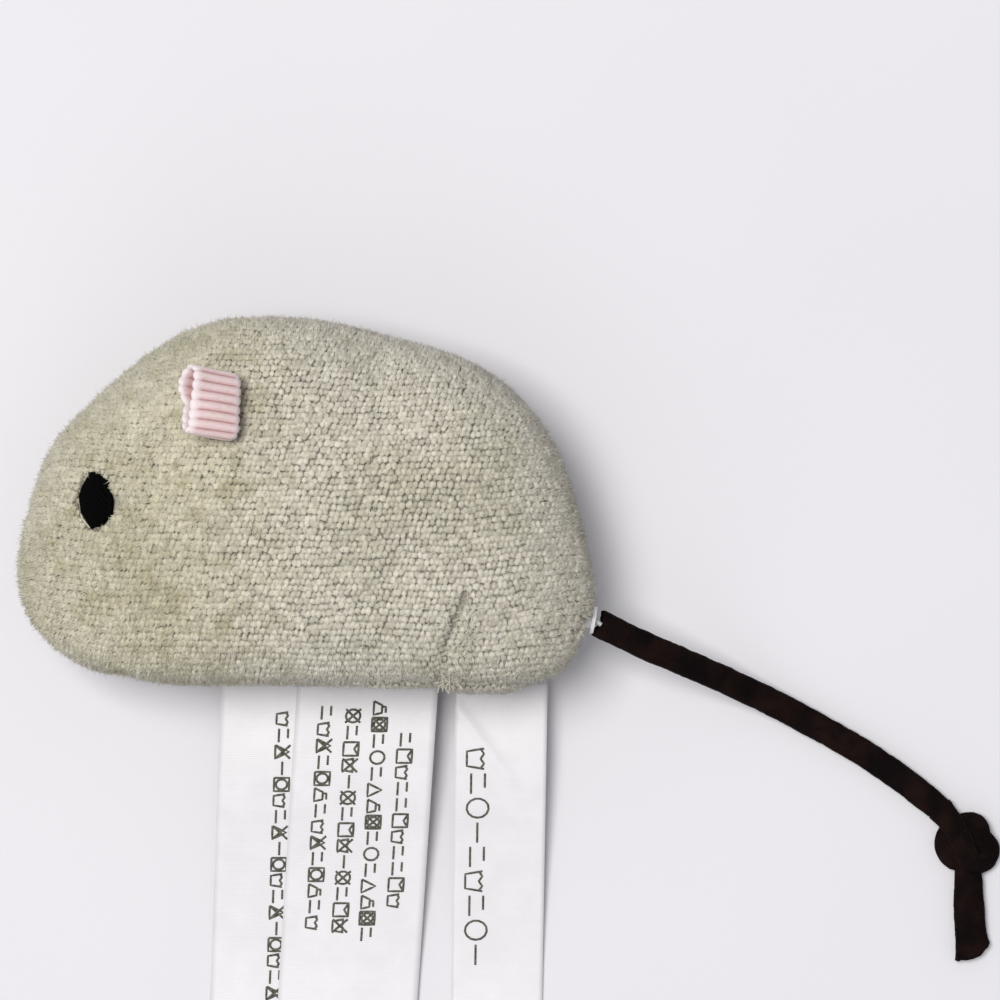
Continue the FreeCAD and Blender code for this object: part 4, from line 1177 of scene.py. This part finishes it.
satin = Finish("label_satin", {"Roughness": 0.42, "Sheen Weight": 0.1, "Specular IOR Level": 0.45})
weft_sockets = {"Vector": satin.uv(), "Scale": 1300, "Distortion": 0.6, "Detail": 1.0}
weft = satin.node("TexWave", {"bands_direction": "Y"}, weft_sockets, output=1)
faint = satin.grain(0.0035, satin.place())
white = satin.ramp(faint, [(0.35, (0.755, 0.738, 0.755)), (0.7, (0.80, 0.785, 0.80))])
satin.put("Base Color", satin.mix(white, (0.72, 0.70, 0.71), weft * 0.3))
satin.relief(weft + satin.grain(0.0009, satin.uv()) * 0.8, 0.00002, 0.6)
ink, _ = mottled("label_print", {"Roughness": 0.7, "Specular IOR Level": 0.2}, 0.0004, (0.055, 0.055, 0.040),
                 (0.17, 0.17, 0.135), 0.00001, start=0.35)


def round_sign(radius):
    return [(0.5 + radius * math.cos(math.radians(a)), 0.5 + radius * math.sin(math.radians(a)))
            for a in np.linspace(0, 360, 14)]


BOX = [(0, 0), (1, 0), (1, 1), (0, 1), (0, 0)]
SIGNS = {                              # strokes in a unit square, as on any care label
    "wash": [[(0, 0.75), (0.14, 0), (0.86, 0), (1, 0.75)],
             [(0.03, 0.6), (0.25, 0.75), (0.5, 0.6), (0.75, 0.75), (0.97, 0.6)]],
    "bleach": [[(0, 0), (1, 0), (0.5, 0.92), (0, 0)]],
    "dry": [BOX, round_sign(0.38)],
    "press": [[(0, 0.05), (1, 0.05), (0.86, 0.6), (0.3, 0.6), (0, 0.05)],
              [(0.4, 0.6), (0.42, 0.85), (0.85, 0.85)]],
    "clean": [round_sign(0.48)],
    "line": [BOX, [(0, 1), (0.5, 0.72), (1, 1)]],
    "cross": [[(0, 0), (1, 1)], [(0, 1), (1, 0)]],
    "bar": [[(0, 0.5), (1, 0.5)]],
    "bars": [[(0, 0.2), (1, 0.2)], [(0, 0.8), (0.7, 0.8)]],
}


def column(label, u, start, end, tall, signs):
    """A column of signs along a label, in millimetres. Signs read from the seam outwards."""
    lines, v, k = [], start, 0
    long, height = tall * 0.9, LABEL_THICK / 2 + 0.012 * MM
    while v < end:
        for part in signs[k % len(signs)].split("+"):
            for stroke in SIGNS[part]:
                line = []
                for (ax, ay), (bx, by) in zip(stroke, stroke[1:]):
                    for share in np.linspace(0, 1, 4)[:-1]:
                        line.append((ax + (bx - ax) * share, ay + (by - ay) * share))
                line.append(stroke[-1])
                lines.append([label_point(label, (u - tall / 2 + y * tall) * MM, (v + x * long) * MM, height)
                              for x, y in line])
        v += long + tall * 0.20
        k += 1
    return lines


LABELS = {                             # the label, its body, and its columns: u, start, end, height, signs
    "care_label_lower": ((-11.2, 6.3, 0.0, -2.0, False), "care_labels",
                         [(8.1, 4.0, 40, 1.9, ["wash", "bars", "bleach+cross", "bar", "dry"])]),
    "care_label_upper": ((-1.6, 16.2, 0.42, -3.1, False), "care_labels", [
        (3.9, 3.2, 32, 1.9, ["bars", "wash", "bleach+cross", "bars", "dry", "press"]),
        (7.3, 3.6, 31, 1.9, ["clean+cross", "bars", "line", "wash+cross", "bar"]),
        (10.7, 2.6, 32.6, 1.9, ["press", "dry+cross", "bars", "clean", "bars", "bleach"]),
        (14.1, 6.6, 29, 1.9, ["bars", "line", "wash", "bars"])]),
    "contents_label": ((18.4, 30.0, 0.0, -0.7, True), "contents_tape",
                       [(3.0, 8.6, 36, 2.9, ["wash", "bars", "clean", "bar", "bars"])]),
}
for name, (label, body, columns) in LABELS.items():
    wide = (label[1] - label[0]) * MM
    us, vs = np.linspace(0, wide, TAPE_ACROSS), np.linspace(0, LABEL_LONG, TAPE_ALONG)
    where = [(u, v) for v in vs for u in us]
    corners = [label_point(label, u, v, -LABEL_THICK / 2) for u, v in where]
    starts = [j * TAPE_ACROSS + i for j in range(TAPE_ALONG - 1) for i in range(TAPE_ACROSS - 1)]
    faces = [(k, k + TAPE_ACROSS, k + TAPE_ACROSS + 1, k + 1) for k in starts]
    mesh = mesh_of(name + "_tape", corners, faces)
    spread = [where[loop.vertex_index] for loop in mesh.loops]
    mesh.uv_layers.new(name="Cloth").uv.foreach_set("vector", np.array(spread).ravel())
    tape = new_object(name, mesh, satin.material)
    thick = tape.modifiers.new("thick", "SOLIDIFY")
    thick.thickness, thick.offset = LABEL_THICK, 1
    piece = new_object(name + "_tape", finished_mesh(tape))
    marks = [line for given in columns for line in column(label, *given)]
    print_mesh = threads_of(name + "_print", marks, 0.145 * MM, ink.material)
    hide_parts(name)
    for thing in (piece, print_mesh):
        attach(thing, body)


# ---- Inside: the filling, the line and the motor ----
# The wadding is loose polyester. The motor's case, gears and bush are moulded, its pins and screws are
# steel, its spring is blued strip and its weight is cast zinc. The line is clear nylon.
fill, _ = mottled("wadding_fibre", {"Roughness": 1.0, "Sheen Weight": 0.3}, 0.0012, (0.70, 0.70, 0.68),
                  (0.88, 0.88, 0.87), 0.0004, detail=5.0)
for name in ("wadding_front", "wadding_rear"):
    lump = bmesh.new()
    lump.from_mesh(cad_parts[name].data)
    bmesh.ops.remove_doubles(lump, verts=lump.verts, dist=0.001 * MM)
    lump_mesh = bpy.data.meshes.new(name)
    lump.to_mesh(lump_mesh)
    lump.free()
    clump = new_object(name, lump_mesh, fill.material)
    remeshed(clump, 1.0 * MM)
    mesh = finished_mesh(clump)
    fluffed = bmesh.new()
    fluffed.from_mesh(mesh)
    fluffed.normal_update()
    for v in fluffed.verts:
        v.co -= v.normal * (0.55 + 0.35 * noise.noise(v.co * 500)) * MM
    fluffed.to_mesh(mesh)
    fluffed.free()
    piece = new_object(name + "_fibre", mesh, fill.material)
    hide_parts(name)
    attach(piece, "root")

LINE_TURN = math.radians(-10)
LINE_INSIDE = 43.5 * MM                # from the drum to the eyelet's mouth
MOUTH = Vector((35.788, -14.439, 14.5)) * MM
ROOT_END = Vector(TAIL_ROUTE[0]) * MM
nylon, _ = mottled("nylon_line", {"Roughness": 0.25, "IOR": 1.5, "Transmission Weight": 0.35}, 0.001,
                   (0.80, 0.82, 0.82), (0.90, 0.91, 0.90), 0.00001)
line_start = MOUTH - Vector((math.cos(LINE_TURN), math.sin(LINE_TURN), 0)) * LINE_INSIDE
route = [line_start.lerp(MOUTH, k / 12) for k in range(12)] + [MOUTH.lerp(ROOT_END, k / 8) for k in range(9)]
route.append(ROOT_END + (ROOT_END - MOUTH).normalized() * 0.3 * MM)
piece = threads_of("pull_line_nylon", [route], 0.32 * MM, nylon.material)
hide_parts("pull_line")
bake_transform(piece)


def moulded(name, low, high, roughness, size=0.0015, depth=0.00002, metallic=0.0):
    """A cast or moulded material with a fine surface grain and a slightly uneven colour."""
    made, uneven = mottled(name, {"Metallic": metallic}, size, low, high, depth, 4.0, strength=0.6)
    made.put("Roughness", made.span(uneven, 0.3, 0.7, roughness, min(1.0, roughness + 0.15)))
    return made.material


def dress(node, material):
    """Gives a piece that is used as CAD made it its material."""
    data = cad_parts[node].data
    data.materials.clear()
    data.materials.append(material)


dress("wound_line", nylon.material)
MOULDED = {                            # the nodes, two colours, roughness, then grain, its depth and metallic
    "eyelet_plastic": (["tail_eyelet"], (0.80, 0.79, 0.80), (0.86, 0.85, 0.86), 0.35),
    "washer_plastic": (["eyelet_washer"], (0.70, 0.69, 0.66), (0.78, 0.77, 0.74), 0.4),
    "case_plastic": (["case_tray"], (0.70, 0.70, 0.67), (0.76, 0.76, 0.73), 0.45),
    "cover_plastic": (["case_cover"], (0.66, 0.66, 0.63), (0.73, 0.73, 0.70), 0.4),
    "screw_steel": (["case_screws"], (0.48, 0.48, 0.49), (0.60, 0.60, 0.61), 0.3, 0.0006, 0.00002, 1.0),
    "bush_acetal": (["line_bush"], (0.82, 0.81, 0.77), (0.88, 0.87, 0.83), 0.3),
    "drum_acetal": (["cord_drum"], (0.78, 0.77, 0.73), (0.84, 0.83, 0.79), 0.35),
    "gear_acetal": (["idler_gear", "weight_pinion"], (0.55, 0.13, 0.09), (0.64, 0.17, 0.12), 0.35),
    "spring_steel": (["return_spring"], (0.10, 0.12, 0.17), (0.20, 0.22, 0.27), 0.25, 0.0008, 0.00002, 1.0),
    "weight_zinc": (["eccentric_weight"], (0.40, 0.40, 0.41), (0.52, 0.52, 0.52), 0.5, 0.0007, 0.00006, 1.0),
    "pin_steel": (["drum_axle", "idler_axle", "weight_axle"],
                  (0.55, 0.55, 0.56), (0.66, 0.66, 0.67), 0.2, 0.0005, 0.00002, 1.0),
}
for name, (nodes, *look) in MOULDED.items():
    material = moulded(name, *look)
    for node in nodes:
        dress(node, material)
